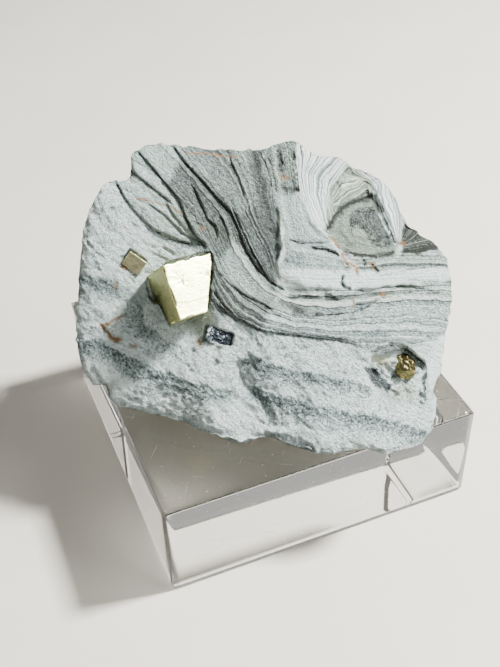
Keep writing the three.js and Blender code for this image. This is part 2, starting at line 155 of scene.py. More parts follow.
# Spot heights of the broad form, as across, up, out. Nearby ones are blended over SPOT_REACH.
SPOT_REACH = 4.2
SPOTS = np.array([
    [-37, 16, -6.5], [-38, 4, -7], [-38, -8, -7.5], [-30, 18, -4.6], [-30, 8, -5], [-30, -2, -5.6],
    [-25, 9, -5], [-25, 0, -6], [-20, -7, -4.4], [-20, 14, -3.6], [-14, 13, -2.8], [-27, 30, -6.5],
    [-22, 25, -4.2], [-20, 33, -6], [-15, 24, -2.6], [-10, 31, -4.5], [-10, 18, -1.6], [-4, 28, -3],
    [-4, 17, -1.4], [-8, 4, -0.4], [-3, -1, 0.2], [0, 9, -1.2], [0, 21, -2.6], [1, 31, -4.6],
    [7.5, 32, -3.2], [7.5, 25, -1.6], [12, 27, -3], [17, 28, -4], [6, 17, 0.8], [11, 12, 1.4],
    [9, 4, 1.6], [15, 0, 1.5], [20, 14, 0], [26, 21, -2.4], [29, 16, -2.4], [37, 10, -5.5],
    [32, 11, -2.6], [22, 4, 1.3], [30, 3, 0.2], [38, 4, -4.5], [22, -4, 1.2], [31, -5, 0],
    [38, -5, -4.5], [6, -4, 0.8], [14, -5, 1.2], [-8, -12, -1.4], [2, -13, 0], [12, -14, 0.5],
    [20, -18, 0.6], [30, -20, -0.6], [37, -18, -6], [-14, -16, -2.4], [-25, -14, -4.6],
    [-35, -14, -7.8], [-30, -20, -7.6], [-20, -24, -5.2], [-8, -23, -3], [-4, -29, -3],
    [4, -22, -0.6], [4, -29, -1.4], [13, -25, 0.8], [14, -32, 2.4], [22, -31, 2.4], [29, -29, 1.4],
    [35, -26, -2.5],
])

# Lines that more than one list below uses
FAN_1 = [[-33.4, 30.6], [-30.9, 25.6], [-29.4, 22.6], [-27, 19.3], [-23.1, 15.4], [-19.5, 13.4],
         [-13.2, 11.6]]
FAN_2 = [[-31.6, 31.4], [-27.9, 28.3], [-24.3, 25.2], [-21.2, 22.6], [-18.3, 20.4]]
FAN_3 = [[-27.4, 33.6], [-24.4, 30.1], [-22.4, 27.7], [-20.1, 24.7], [-17.8, 21.7], [-16.5, 18.2],
         [-14.6, 14.1], [-11.6, 10.7]]
FAN_4 = [[-21.4, 37.4], [-18.4, 32.7], [-16.2, 29.5], [-12.9, 25.8], [-9.6, 21.7], [-6.9, 18.8],
         [-5.3, 15], [-3.7, 10.5], [-1.3, 6.4], [1.2, 4]]
FAN_5 = [[-15, 25.4], [-13.6, 22], [-11.8, 17.3], [-10.2, 15.9], [-9.6, 13]]
FAN_6 = [[-9.2, 18.5], [-7.9, 15.4], [-7.3, 13.3]]
FAN_7 = [[-7.6, 34], [-6.4, 29.2], [-5, 26], [-3.7, 21.5]]
SWEEP_1 = [[-6.7, 20.7], [-4.6, 15.2], [-2.3, 9.8], [1, 4], [4.9, 1.4]]
SWEEP_2 = [[-10.6, 9.4], [-9.8, 6.4], [-7.6, 3.6], [-4.8, 1.4], [0, -1.2], [1.8, -2.6]]
SWEEP_3 = [[-11.4, 3], [-9, -0.6], [-6.6, -3], [-3.4, -5]]
LEDGE = [[-11.6, 0.6], [-6.6, -4], [-0.4, -6.8], [7.4, -8], [15.8, -9.1], [21.4, -10.9]]
TOP_CRACK = [[-0.6, 32.3], [1.2, 28], [1.9, 25.6], [2, 23.9]]
SLAB_EDGE = [[2.4, 22], [3.2, 17.7], [3.1, 14.4], [3.5, 11.1], [2.6, 8.7], [2.5, 6.7], [3.4, 2.4]]
BANDED_EDGE = [[7.4, 33], [7.6, 28.2], [8, 22.7], [10.6, 16.2], [13.7, 13.2], [16.5, 9.1], [20.4, 3.9]]
BRIGHT_RIDGE = [[23, 26], [26.4, 18], [28.4, 11]]
LOBE_EDGE = [[-6.9, -12.3], [-6.6, -15], [-5.5, -18], [-2, -21.5], [-0.6, -25], [-0.9, -27.4]]
LID_ARC = [[13.6, 14.5], [15.1, 17.4], [17.5, 19.5], [20.9, 20.7], [23.8, 21.8]]
EYE_FOOT = [[16.1, 9.7], [20.8, 9], [24.7, 8.4], [27.9, 9.6]]
SLAB_CRACK = [[5.2, 12.8], [7.6, 11.8], [11, 11.8], [14.4, 12]]
SLAB_LOW_CRACK = [[9.8, 10.8], [13, 10.4], [16.2, 9]]
HOLLOW_FOOT = [[28.6, 9.2], [32.4, 9], [35, 10], [38.6, 10.2]]
EYE_NOTCH = [[20, 8.8], [21.2, 7.6], [21, 6.4]]
RUSTY_NOTCH = [[22.6, 7.2], [23.4, 6], [24.4, 5.2]]
HOOK_CRACK = [[16.6, 5], [16.2, 3.4], [16.8, 2.2], [18.4, 1.8]]

# Creases and ridges, as line, dent, width, lift, reach. Each dents the face along its line by dent (less
# than 0 raises it) and lifts the side to its left, looking along it, by lift, which dies away over reach.
CREASES = [
    (FAN_1, 0.15, 0.35, 0.5, 3.5),
    (FAN_2, 0.15, 0.35, 0.35, 3),
    (FAN_3, 0.15, 0.35, 0.5, 3),
    (FAN_4, 0.2, 0.35, 0.5, 4),
    (FAN_5, 0.15, 0.35, 0.3, 2),
    (FAN_6, 0.1, 0.3, 0.15, 1.5),
    (FAN_7, 0.15, 0.4, 0.3, 3),
    (SWEEP_1, 0.2, 0.35, 0.35, 3),
    (SWEEP_2, 0.15, 0.4, 0.3, 3),
    (SWEEP_3, 0.1, 0.4, 0.2, 2),
    (LEDGE, 0.05, 0.5, 0.4, 4),
    (TOP_CRACK, 0.3, 0.35, 0.1, 2),
    (SLAB_EDGE, 0.05, 0.5, 0.5, 7),
    (BANDED_EDGE, -0.35, 0.7, 0, 1),
    (BRIGHT_RIDGE, -0.4, 1.3, 0, 1),
    (LOBE_EDGE, 0.35, 0.8, -1.2, 5),
    ([[2.9, 4.6], [16.4, 2], [22.3, 2.6], [36.5, 3]], -0.7, 1.5, 0, 1),
    ([[6, 0.4], [15, -0.4], [24, 0.4], [35, 0.6]], 0.4, 0.5, 0, 1),
    ([[4, -2.6], [12, -3.6], [20, -3], [29, -2.2]], 0.1, 0.5, 0, 1),
]

# Fine cracks and layer edges, as line, dent, width, lift, reach
FINE_CREASES = [
    ([[-25, 16], [-21.5, 14.8], [-17.6, 13]], 0.2, 0.3, 0.1, 1),
    ([[-24.2, 12], [-21, 11.6], [-18.6, 9.8]], 0.25, 0.3, 0.1, 1),
    ([[-23.6, 10.6], [-21.4, 9.6], [-19.8, 8.6]], 0.2, 0.3, 0.1, 1),
    ([[-37.6, 13.6], [-36, 11.4], [-33.8, 9.8]], 0.2, 0.35, 0.1, 1),
    ([[-25, 21.6], [-21, 18.6], [-17.2, 14.6], [-13.4, 12.4]], 0.25, 0.3, 0.2, 1.5),
    ([[-21, 21.8], [-18.6, 17.8], [-15.2, 14], [-12.2, 11.8]], 0.2, 0.3, 0.2, 1.5),
    ([[-9.8, 19], [-8.3, 16.6], [-7.2, 13.6]], 0.15, 0.3, 0.1, 1),
    ([[0.6, 31.6], [2, 28.6], [2.6, 25.2], [2.8, 22.6]], 0.25, 0.3, 0.1, 1),
    ([[3.6, 31.8], [4.4, 28.8], [5.2, 27.6]], 0.25, 0.35, 0.1, 1),
    ([[3, 24.8], [5.4, 23.6], [8.2, 22.8]], 0.4, 0.4, -0.3, 2),
    (SLAB_CRACK, 0.25, 0.35, 0.1, 1),
    (SLAB_LOW_CRACK, 0.5, 0.4, 0.2, 1),
    (HOLLOW_FOOT, 0.5, 0.35, -0.3, 2),
    (EYE_NOTCH, 0.5, 0.4, 0, 1),
    (RUSTY_NOTCH, 0.5, 0.35, 0, 1),
    (HOOK_CRACK, 0.6, 0.4, 0, 1),
    ([[12.6, 0.8], [14.4, 0.2], [15.4, -0.6]], 0.6, 0.35, 0.3, 1),
    ([[18.6, 1.8], [22, 1.4], [26, 2.2], [31, 2], [35, 1.2]], 0.5, 0.35, 0.2, 1),
    ([[7, -3.6], [12, -3.5], [18, -3.2]], 0.15, 0.3, 0.2, 1),
    ([[18.6, -1.6], [22.4, -1.2], [26, 0.2]], 0.3, 0.3, 0.2, 1),
    ([[25.4, -10], [28.6, -10.4], [30.6, -12.2], [33.6, -14.6]], 0.6, 0.4, 0.5, 1.5),
    ([[33.6, -8.4], [34.8, -9.2], [36, -9.6]], 0.4, 0.4, 0, 1),
    ([[-9.6, -9.2], [-11, -11.6], [-11.4, -14]], 0.35, 0.6, 0, 1),
    ([[-15.2, -9.6], [-16.4, -12.6]], 0.3, 0.5, 0, 1),
    ([[-34.6, -4.6], [-33, -6.4], [-31, -8.4]], 0.3, 0.4, 0.2, 1.5),
    ([[-37.4, -13], [-35.4, -15.4], [-34.6, -17.6]], 0.3, 0.6, 0.4, 2),
    ([[-29.6, 9.8], [-27.4, 7.6], [-26.4, 6.6]], 0.9, 0.35, 0, 1),
    ([[-11.3, 10.6], [-11.4, 6], [-12.3, -2]], 0.9, 0.4, 0, 1),
    ([[-20, -5.2], [-17.6, -4.4], [-12.6, -2.8]], 0.5, 0.5, 0, 1),
]

# Patches of the face that are raised or sunk, as edge, level, width of the edge
PIT_EDGE = [[21.2, -15.3], [24.8, -20.3], [27.9, -22], [32.9, -22.2], [33.6, -15.2], [29.4, -11],
            [22.6, -13]]
PATCHES = [
    ([[18, 27], [23, 24], [25, 17.1], [27.8, 10.7], [24.7, 8.9], [16.5, 9.6], [13.6, 14],
      [13.7, 18.9]], -1.1, 3.6),
    ([[18, 26], [22.8, 23.6], [23.6, 22], [17.5, 20.2], [14.2, 16.6], [14, 19.5]], 0.5, 1),
    ([[-0.4, 34], [6.9, 34], [7.6, 23], [4, 24.4], [2.4, 22.6]], -0.5, 3),
    ([[29.4, 15.4], [34, 14.4], [40, 9.8], [28.8, 9]], -0.6, 2.4),
    (PIT_EDGE, -2.3, 2.2),
    # Bevel down the lower right edge
    ([[36.6, -8], [46, -8], [46, -36], [34.2, -30], [34.8, -20], [34.6, -14]], -1.8, 2.6),
    # Rock that laps over the large cube's lower left
    ([[-25, 1.8], [-23.4, -0.1], [-21.9, -0.3], [-21.2, -2.4], [-20.3, -4.2], [-20.1, -5.6], [-23, -7],
      [-26.6, -3]], 2.6, 0.5),
    # Seats of the crystals, so that their visible sides stand clear of the rock
    ([[-21.6, 7.5], [-20.7, 8.4], [-17.7, 9.1], [-13.5, 10.3], [-10.9, 10.4], [-10.6, 8.3], [-20.8, 6.3]],
     -0.7, 0.4),
    ([[-12.4, -4.8], [-6.9, -7], [-7.4, -9.4], [-13.2, -8.2]], -1.6, 0.5),
    ([[-28.2, 11.5], [-24.8, 9.1], [-26.9, 7.1], [-30.2, 9.7]], -1.2, 0.5),
]
EYEBALL_AT = (20.2, 14.2)
EYEBALL_RADIUS = 5.2
EYEBALL_RISE = 1.2

# Facets of the back, each a plane: out = level + across * x + up * y. The outermost one counts.
BACK_FACETS = [
    (-37, -0.08, 0.62), (-56, -1, 0.25), (-58, 1.1, -0.15), (-50, -0.5, 0.85), (-53, 0.55, 0.9),
    (-43, 0.35, 0.25),
]
BACK_RIM = 0.94
MIN_WALL = 0.8
RESTING_BLEND = 1.0
RIM_DROP = 1.0
RIM_REACH = 1.3
FACE_ROUGHNESS = 0.16
BACK_ROUGHNESS = 0.7
BACK_STRETCH = 0.45
EYEBALL_EDGE = 1.2
OUTLINE_STEPS = 24
# Share of a line over which its ends die out, for creases and for painted lines
CREASE_FADE = 0.12
STROKE_FADE = 0.08
WALL_RINGS = 12
WALL_CURVE = 0.8

# Heights of the small relief: ledges along the layers, grain and crumbs (each with what the granular rock
# has more of), and broad swells
LEDGE_HEIGHT = 0.13
GRAIN_HEIGHT, GRANULAR_GRAIN = 0.04, 0.03
CRUMB_HEIGHT, GRANULAR_CRUMBS = 0.06, 0.05
SWELL_HEIGHT = 0.14
# The granular rock starts below this layer number and is full after as many more layers
GRANULAR_LAYER = -6
GRANULAR_EASE = 5
# Rubble in the pit, as height and rise of its mean
RUBBLE_HEIGHT, RUBBLE_RISE = 0.75, 0.3
# Wall and back: height and mean of the chips, their grain, ledges, and the share that the rim keeps
CHIP_HEIGHT, CHIP_MEAN = 0.9, 0.6
WALL_GRAIN = 0.22
WALL_LEDGES = 0.16
RIM_SHARE = 0.15
# The rim: how far it is drawn in, how deep its chips go and its grain
RIM_SINK, RIM_CHIPS, RIM_GRAIN = 0.2, 0.9, 0.15
RIM_WIDTH = 1.1
# The relief grows from this share at the foot to its full height this far above it
FOOT_SHARE = 0.35
FOOT_RISE = 3

# Layers of the rock: lines along which the layer number stays the same, each as number, line
LAYERS = [
    (9, [[40, 8], [33, 8.6], [28, 8.8], [22, 8], [16, 8], [10, 9.4], [6, 10.4]]),
    (5, [[40, 5], [30, 4.8], [22, 4.6], [14, 5], [4, 6.2]]),
    (1.5, [[40, 1.2], [30, 1.6], [22, 1.2], [14, 0.8], [5, 1.4], [1, 4], [-2.3, 9.8], [-5, 15.6], [-6.9, 20],
           [-11, 26], [-15, 31]]),
    (-2, [[40, -3], [30, -2], [22, -2.6], [14, -3.2], [8, -2.4], [0, 0.5], [-5, 5.5], [-8, 11], [-10, 17],
            [-14, 23], [-20, 30]]),
    (-5, [[38, -7], [30, -5.8], [22, -6], [14, -6], [6, -5], [0, -3], [-5, 0.8], [-8.4, 5], [-10.4, 10],
            [-15, 18], [-21, 25]]),
    (-8.5, [[36, -10.5], [28, -11], [20, -10.5], [14, -9], [7, -8], [0, -6.8], [-6, -4.2], [-9.6, 0],
            [-11.4, 5], [-12.6, 11.4], [-22, 16], [-29, 22]]),
    (-13, [[34, -18], [21, -17.4], [12, -16], [7, -15], [0, -13], [-8, -12], [-16, -8], [-24, -2], [-34, 3],
             [-40, 5]]),
    (-19, [[34, -29], [22, -26.4], [17, -24.7], [9, -23.6], [2, -21.6], [-7, -19.6], [-15, -18], [-24, -15.2],
             [-32, -11.6], [-40, -9.5]]),
    (-24, [[24, -33], [10, -30], [0, -27], [-10, -25], [-22, -22], [-34, -17]]),
    (6, [[3, 12], [0, 18], [-1, 24], [-3, 31]]),
    (11.5, [[29.4, 10.4], [38, 11.4]]),
    (14, [[29.4, 11.6], [34, 14.6]]),
    (16.5, [[29.2, 12.6], [30.8, 17]]),
]
# Layers of the banded facet, the eye and the bright ridge, which wrap round the eye
EYE_LAYERS = [
    (0, [[7.6, 31], [8.2, 24], [10.4, 17], [13.4, 13.2], [18, 6.4]]),
    (2, [[12, 30.4], [9.8, 26.6], [9.9, 22], [12, 17], [15.4, 11.4]]),
    (4, [[16.5, 30], [12.4, 25.6], [11.9, 22], [13, 17.4], [15.4, 12]]),
    (6, [[18.6, 28.6], [14.8, 23.6], [13.6, 19], [13.7, 14.2], [16.6, 9.8]]),
    (8, [[22.4, 24.4], [17.6, 21.8], [14.8, 18], [14.6, 14], [17.6, 10.4], [24, 9.4]]),
    (8, [[14.5, 20], [17.5, 22.4], [20.7, 23.6], [23.1, 24]]),
    (10, [[15.1, 18.9], [17.7, 20.9], [20.7, 22.4], [23.3, 22.9]]),
    (13, [[23.4, 20], [19, 18], [17, 15], [18.6, 12], [23.8, 11.4]]),
    (4, [[23.4, 24.6], [25.2, 17.2], [28.2, 10.8]]),
    (1.5, [[25.6, 24.6], [27.2, 18], [28.6, 11]]),
    (-1, [[28.4, 21.5], [29.4, 17], [28.8, 11.4]]),
]
EYE_ZONE = [[7.2, 35], [16, 33], [26, 28], [31.6, 21], [32.6, 15.4], [29.3, 14.6], [28.6, 9.6], [24.7, 8.3],
            [20.8, 8.9], [17.6, 9.3], [20.8, 3.9], [19.6, 4.2], [16.2, 9.1], [13.7, 13.2], [10.4, 16.2],
            [8, 22.7]]

# Painted areas, as edge, softness, and what they are blended to: tone (0 dark, 1 white), warmth, banding
# and grain
AREAS = [
    # Lobes of the fan, and the darker sweep of layers to their right
    ([[-31, 27], [-27.5, 34], [-18.4, 35], [-12.9, 25.8], [-10, 20], [-11, 11], [-19.5, 13.4], [-27, 19.3]],
     1, 0.64, 0.4, 0.4, 0.8),
    ([[-18.4, 36], [-12.9, 25.8], [-9.6, 21.7], [-11.6, 10.4], [-12, -2], [-6.6, -4], [0, -7], [3, 3],
      [3.3, 18], [2, 24], [-0.6, 35]], 1.4, 0.24, 0.5, 0.9, 0.8),
    ([[-20.1, 24.7], [-17.8, 21.7], [-16.5, 18.2], [-14.6, 14.1], [-11.6, 10.7], [-7.6, 13], [-5.3, 15],
      [-6.9, 18.8], [-9.6, 21.7], [-12.9, 25.8], [-16.2, 29.5], [-19, 28]], 1.2, 0.26, 0.5, 0.5, 0.8),
    ([[-18, 36], [-12.9, 25.8], [-9, 21.7], [-5, 18], [-2, 20], [-1.5, 28], [-1, 36]],
     1.2, 0.4, 0.4, 0.5, 0.8),
    ([[-6.5, 13], [-3.7, 10.5], [-1.3, 6.4], [1.2, 4], [3, 1], [0, -1.2], [-4.8, 1.4], [-7.6, 3.6],
      [-9.5, 8]], 1, 0.56, 0.4, 0.6, 0.8),
    # Painted shade: the dark strip left of the slab's edge, on the scarp that faces away from the light
    ([[-0.6, 35], [1.2, 28], [2.8, 20], [3.2, 17], [3.3, 11], [2.5, 6.7], [-0.5, 8], [-1, 15], [-1.5, 22],
      [-2.5, 30]], 1, 0.18, 0.4, 0.4, 0.7),
    # Flat slab and the dark hollow above it
    ([[2.8, 23], [3.3, 11], [2.6, 4], [5, 1.6], [14, 1], [20, 4], [16.5, 9.1], [13.9, 13.2], [10.6, 16.2],
      [8.3, 22.5]], 0.4, 0.62, 0.15, 0.35, 0.6),
    # Painted shade: the hollow above the slab is darkened, as it faces away from the light
    ([[-0.6, 36], [7.2, 36], [8, 23], [6, 22], [2.2, 23.5], [1.2, 28]], 0.5, 0.42, 0.5, 0.5, 1.2),
    # Layers at the right
    ([[28.6, 9.3], [42, 9.8], [42, -8], [36, -9.3], [28.8, -11], [21.4, -11.5], [15.8, -9.1], [7.4, -8],
      [-0.4, -6.8], [1.8, -1], [5, 1.4], [14, 4], [20.5, 4], [17, 9], [24.7, 8.3]], 0.6, 0.58, 0.25, 1.2, 1),
    ([[42, 0.5], [30, 1], [16, -1.5], [4, -2.6], [-0.4, -6.8], [7.4, -8], [15.8, -9.1], [21.4, -11.5],
      [28.8, -11], [36, -9.3], [42, -8]], 1, 0.62, 0.15, 0.8, 1.3),
    ([[3, 6.3], [8, 6.2], [14, 6], [20.4, 5.4], [28, 5.4], [42, 6], [42, 3.6], [32, 3], [22, 1.6], [15, 2.2],
      [8, 2.4], [3, 3]], 0.5, 0.94, 0.1, 0.35, 0.5),
    # Granular rock below the ledge
    ([[-12, -5], [-0.4, -7.2], [7.4, -8.4], [15.8, -9.6], [21.4, -12], [28.8, -11.5], [36, -9.3], [42, -12],
      [38, -33], [10, -36], [-2, -32], [-7, -13]], 0.8, 0.86, 0, 0.1, 1.9),
    ([[-44, 0], [-24, -2], [-13, -9], [-7, -13], [-1, -22], [-2, -32], [-20, -29], [-44, -20]],
     1, 0.86, 0.05, 0.15, 1.8),
    ([[-12, -20], [-6, -19.8], [-2.5, -22], [-1, -28], [-4, -33], [-12, -30]], 1.5, 1, 0, 0.1, 0.9),
    ([[36.2, -8.8], [42, -8], [40, -20], [38, -33], [33.5, -30], [34.6, -20], [34, -14]],
     0.4, 0.9, 0, 0.1, 0.6),
    # Banded facet, eye, bright ridge and brown hollow
    ([[7.2, 36], [18.5, 32], [18.3, 27.9], [14.6, 23.6], [13.6, 18.9], [13.8, 14], [16.8, 9.6], [20.8, 3.9],
      [19.4, 4.2], [16.2, 9.1], [13.7, 13.2], [10.4, 16.2], [8, 22.7]], 0.3, 1.02, 0.08, 1.7, 0.3),
    ([[18.3, 28.5], [23.3, 24.9], [25, 17.1], [28.2, 10.7], [27.9, 9.2], [24.7, 8.3], [20.8, 8.9],
      [16.4, 9.6], [13.7, 14], [13.6, 18.9], [14.8, 23.6]], 0.3, 0.44, 0.9, 0.2, 0.5),
    ([[13.4, 19.6], [15.2, 22.9], [18.3, 28.5], [23.3, 25.3], [23.7, 22.3], [19, 21.3], [16, 19.5],
      [13.8, 16.2]], 0.25, 0.58, 0.8, 1.2, 0.4),
    ([[18, 17.7], [21, 19.2], [23.2, 19.5], [24.4, 17.6], [26.4, 13.7], [27.3, 10.7], [24.6, 9.9],
      [22.5, 11.5], [23.4, 12.5], [21.7, 13.6], [20.1, 14.5], [18.6, 15.6]], 0.25, 0.2, 0.5, 0.3, 0.9),
    ([[18.3, 30], [26, 29], [31, 22], [31.8, 15], [29.2, 14.6], [28.6, 9.6], [28, 10.8], [25, 17.1],
      [23.3, 24.4]], 0.3, 0.95, 0, 1.6, 0.3),
    ([[29.3, 11.3], [29.6, 14.4], [30.8, 16.5], [38, 14], [38.5, 9.2], [34, 8.2], [29.6, 9]],
     0.35, 0.08, 0.9, 0.9, 1),
    ([[33, 8.9], [36.4, 9.6], [38.1, 11.1], [41, 9.6], [36.4, 8.8], [34, 8.2]], 0.2, 0.66, 0, 0.4, 0.6),
    # Inside of the pit
    ([[20.9, -15.5], [24.8, -20.3], [27.9, -22.4], [32.9, -22.8], [33.8, -14.8], [29, -10.7],
      [22, -12.7]], 0.4, 0.95, 0.1, 0, 1.5),
    ([[22, -12.7], [26.9, -12.3], [25.8, -13.8], [23.4, -15]], 0.15, 0.85, 1, 0, 0.3),
    # The pit's upper right wall: a brownish strip, darkened with painted shade
    ([[29.2, -11.7], [30.5, -11.8], [33.8, -14.8], [32.5, -15.8], [30.6, -13.9]], 0.2, 0.5, 0.5, 0, 1.8),
    ([[25.2, -20.5], [28, -18.5], [30.9, -18.5], [31.9, -21.5], [29.3, -22.7], [26.8, -21.8]],
     0.25, 0.8, 0.6, 0, 1.6),
    ([[20.5, -14.8], [22.9, -15.2], [25.8, -18.6], [25.4, -20.8], [22.8, -18.7]],
     0.12, 0.12, 0, 0, 1.4),
]
# The same four values for the rest of the face, and for the wall and the back
BASE_LOOK = (0.88, 0.1, 0.2, 1.2)
WALL_LOOK = (0.76, 0.1, 0.45, 1.0)
# How far the areas' edges waver, how much the warmth and the strokes' strength vary, and over what length
EDGE_WAVER = 0.5
WARMTH_PATCHES, WARMTH_PATCH_SIZE = 0.14, 9.0
INK_PATCHES, INK_PATCH_SIZE = 0.22, 3.5
WALL_PATCHES = 0.1

# Dark stripes, crisp along their upper edge, as that edge, reach below it, tone added
STRIPE_EDGE = 0.7
STRIPES = [
    ([[-46, 6.8], [-40.4, 6.6], [-34.7, 6], [-30.9, 5], [-28.4, 3.4], [-26.4, 0.7], [-25, -3.6],
      [-21, -8], [-15.6, -10.2]], 4.2, -0.26),
    ([[-46, -4.6], [-40.9, -6.1], [-35, -7.5], [-32.1, -9.3], [-24.6, -12.7], [-16.2, -16.3], [-11, -18.1],
      [-6, -18.9]], 4, -0.52),
    ([[-3.4, -17], [-1.1, -18.1], [2.6, -19.9], [6.8, -21.1], [13.1, -22.9], [19.4, -23.9], [26.1, -25.3],
      [31.5, -27.4], [37, -29.4]], 3.8, -0.52),
    ([[-4.6, -11], [-1.8, -12.2], [2, -13.6], [7, -14.5], [13.3, -16], [20, -17.4], [23, -18.4]],
     3.4, -0.5),
]

# Painted strokes, as line, half width, tone added; many dark ones are painted shade. The thin ones are drawn
# as crisp lines by the material.
THIN_STROKE = 0.35
# Points further than this from a thin line don't know of it, and FAR_ACROSS stands for that
LINE_REACH = 1.0
FAR_ACROSS = 9.0
STROKES = [
    # Painted shade: thin dark lines where the fan's creases, the sweeps, the ledge, the top crack and the
    # lobe's edge fall into shadow
    (FAN_1, 0.2, -0.3), (FAN_2, 0.18, -0.3), (FAN_3, 0.2, -0.3), (FAN_4, 0.22, -0.3), (FAN_5, 0.2, -0.3),
    (FAN_6, 0.18, -0.3), (FAN_7, 0.2, -0.2), (SWEEP_1, 0.2, -0.35), (SWEEP_2, 0.18, -0.25),
    (SWEEP_3, 0.18, -0.2), (LEDGE, 0.2, -0.15), (TOP_CRACK, 0.25, -0.35), (LOBE_EDGE, 0.5, -0.08),
    # Painted shade: wide soft strokes on the shaded side of the larger creases and the ledge
    (FAN_1, 1.1, -0.08), (FAN_3, 1, -0.08), (FAN_4, 1.1, -0.08), (SWEEP_1, 1.2, -0.08), (LEDGE, 1.2, -0.06),
    ([[3.4, 17.7], [3.8, 14.3], [4.1, 10.9], [3.4, 8], [2.7, 6.3], [2.8, 3.3]], 0.4, 0.6),
    # Painted shade: a broad soft band beside the fan's largest crease
    ([[-13, 26.6], [-9.4, 22.6], [-6.6, 19.6]], 1.6, -0.14),
    # Painted shade: the dip into the crease above the large cube's top edge
    ([[-17.6, 12.6], [-14, 11.8], [-11.6, 10.9]], 0.9, -0.3),
    ([[-45, 4.4], [-40, 4.2], [-35, 3.8], [-30, 2.4]], 2, -0.28),
    ([[-40, -5.2], [-35, -6.6], [-31.8, -8.4], [-24.4, -11.9], [-16, -15.5], [-8, -18]], 0.3, 0.25),
    # Painted light: a lighter patch at the lower left, where the face falls away towards the rim and would be
    # in shade
    ([[-36.6, -11.6], [-34, -13.6], [-31.6, -16.4], [-29, -19.2]], 2.8, 0.2),
    ([[-30.6, -13], [-28.2, -16], [-27.6, -20.6]], 0.7, -0.12),
    ([[-25, -16], [-23.6, -20]], 0.6, -0.1),
    # The lid's arc strokes are a dark layer; the strokes along the eye's foot are painted shade under its
    # lower edge
    (LID_ARC, 0.6, -0.4), (LID_ARC, 0.3, -0.4), (EYE_FOOT, 0.35, -0.45), (EYE_FOOT, 0.6, -0.3),
    ([[18.2, 17.7], [18.8, 16.2], [18.4, 15.4], [20.5, 14.5], [21.8, 15.1], [23, 13.8], [22.3, 12.5],
      [24, 11.7], [25.3, 12.3]], 0.25, -0.16),
    ([[21, 17.6], [22.4, 16.8], [24.2, 16.9]], 0.22, -0.1),
    ([[22.8, 11.2], [24.6, 12.8], [26.4, 12.6]], 0.22, -0.14),
    ([[24.1, 21.8], [25, 17.8], [26.2, 14.1]], 0.22, 0.5),
    ([[13.9, 13.6], [15.3, 10.6], [17.1, 7.6], [19.8, 4.6]], 0.3, 0.4),
    ([[16.8, 23.4], [18.2, 24.6], [20.4, 25.1], [22.4, 24.9]], 0.5, 0.3),
    ([[19.6, 18.4], [22, 18], [24, 18.6]], 0.3, -0.14),
    ([[15.6, 25.2], [16.6, 23], [15.2, 20.6]], 0.3, -0.2),
    ([[12.8, 19.6], [13.2, 23.4], [16.4, 27.4]], 0.25, -0.35),
    ([[12.9, 19.8], [13.2, 16], [13.6, 13.6]], 0.25, -0.3),
    ([[23.6, 22], [25, 18.4], [27, 13.4], [28.4, 10.4]], 0.35, -0.35),
    ([[24, 24.4], [26.4, 17.6], [28.2, 11.6]], 0.25, -0.15),
    (SLAB_CRACK, 0.3, -0.28),
    (SLAB_LOW_CRACK, 0.35, -0.45),
    (HOLLOW_FOOT, 0.4, -0.4),
    ([[18.6, 1.6], [22, 1.3], [26, 2.1], [31, 1.9], [39, 0.9]], 0.4, -0.35),
    ([[30, 3.6], [35, 3.2], [40, 2.6]], 0.3, -0.2),
    ([[3.6, 0.4], [10, 0.6], [14, 0.6], [15.6, -0.4]], 0.35, -0.3),
    ([[4.6, -3], [9, -3.7], [18, -3.1], [23, -1.6]], 0.35, -0.25),
    ([[16, -1.6], [20, -1], [25, -0.4]], 0.5, 0.12),
    ([[6, -1.2], [11, -1.4], [16, -1.4]], 0.6, 0.14),
    # Painted shade: a soft dark band under the step of the ledge
    ([[0, -5.8], [6, -7.2], [12, -8], [20, -8.4], [28, -8.6]], 0.9, -0.16),
    ([[22, -11.2], [27, -11], [31, -11.8]], 0.6, -0.3),
    ([[24, 4.4], [30, 5.4], [38, 6.6]], 0.3, -0.16),
    ([[3.2, 9], [8, 8.4], [15, 7.6]], 0.8, -0.1),
    (HOOK_CRACK, 0.35, -0.45),
    (EYE_NOTCH, 0.4, -0.35),
    (RUSTY_NOTCH, 0.35, -0.35),
    ([[3.2, 32], [4.2, 29], [4.8, 27.4]], 0.5, -0.25),
    ([[4, 24.4], [6.4, 23.4], [8.2, 22.8]], 0.5, -0.3),
    # Painted shade: the pit's upper right wall, which faces away from the light
    ([[27.5, -11.5], [29, -11.1], [30.3, -11.8], [32.1, -13.3], [33.8, -14.8]], 0.3, -0.4),
    ([[22.6, -14.3], [24.1, -15.4]], 0.4, -0.7),
    ([[31.9, -22.1], [32.9, -22.5], [33.5, -21.2]], 0.35, -0.6),
    ([[25.4, -15.6], [26.4, -17], [28.4, -17.8], [30.4, -18.6]], 0.3, -0.4),
    ([[20.6, -15.6], [22.6, -19], [25.2, -21.6], [28.6, -23.2], [31.6, -23.4]], 0.6, 0.4),
    # Painted shade: dark lines in the gaps where the small crystal and the large cube meet the rock
    ([[-29.8, 10], [-27.6, 7.6], [-26.6, 6.4]], 0.3, -0.75),
    ([[-21.6, 7.6], [-20.7, 8.5], [-17.7, 9.3], [-13.5, 10.5], [-11, 10.6]], 0.25, -0.35),
    ([[-11.2, 10.6], [-11.3, 6], [-12.2, -2]], 0.35, -0.55),
    ([[-25.3, 5.1], [-24.3, 1.1], [-23.3, -0.2], [-22, -0.5], [-21.3, -2.5], [-20.4, -4.3]], 0.25, -0.4),
]

THIN_STROKES = [stroke for stroke in STROKES if stroke[1] <= THIN_STROKE]
WIDE_STROKES = [stroke for stroke in STROKES if stroke[1] > THIN_STROKE]

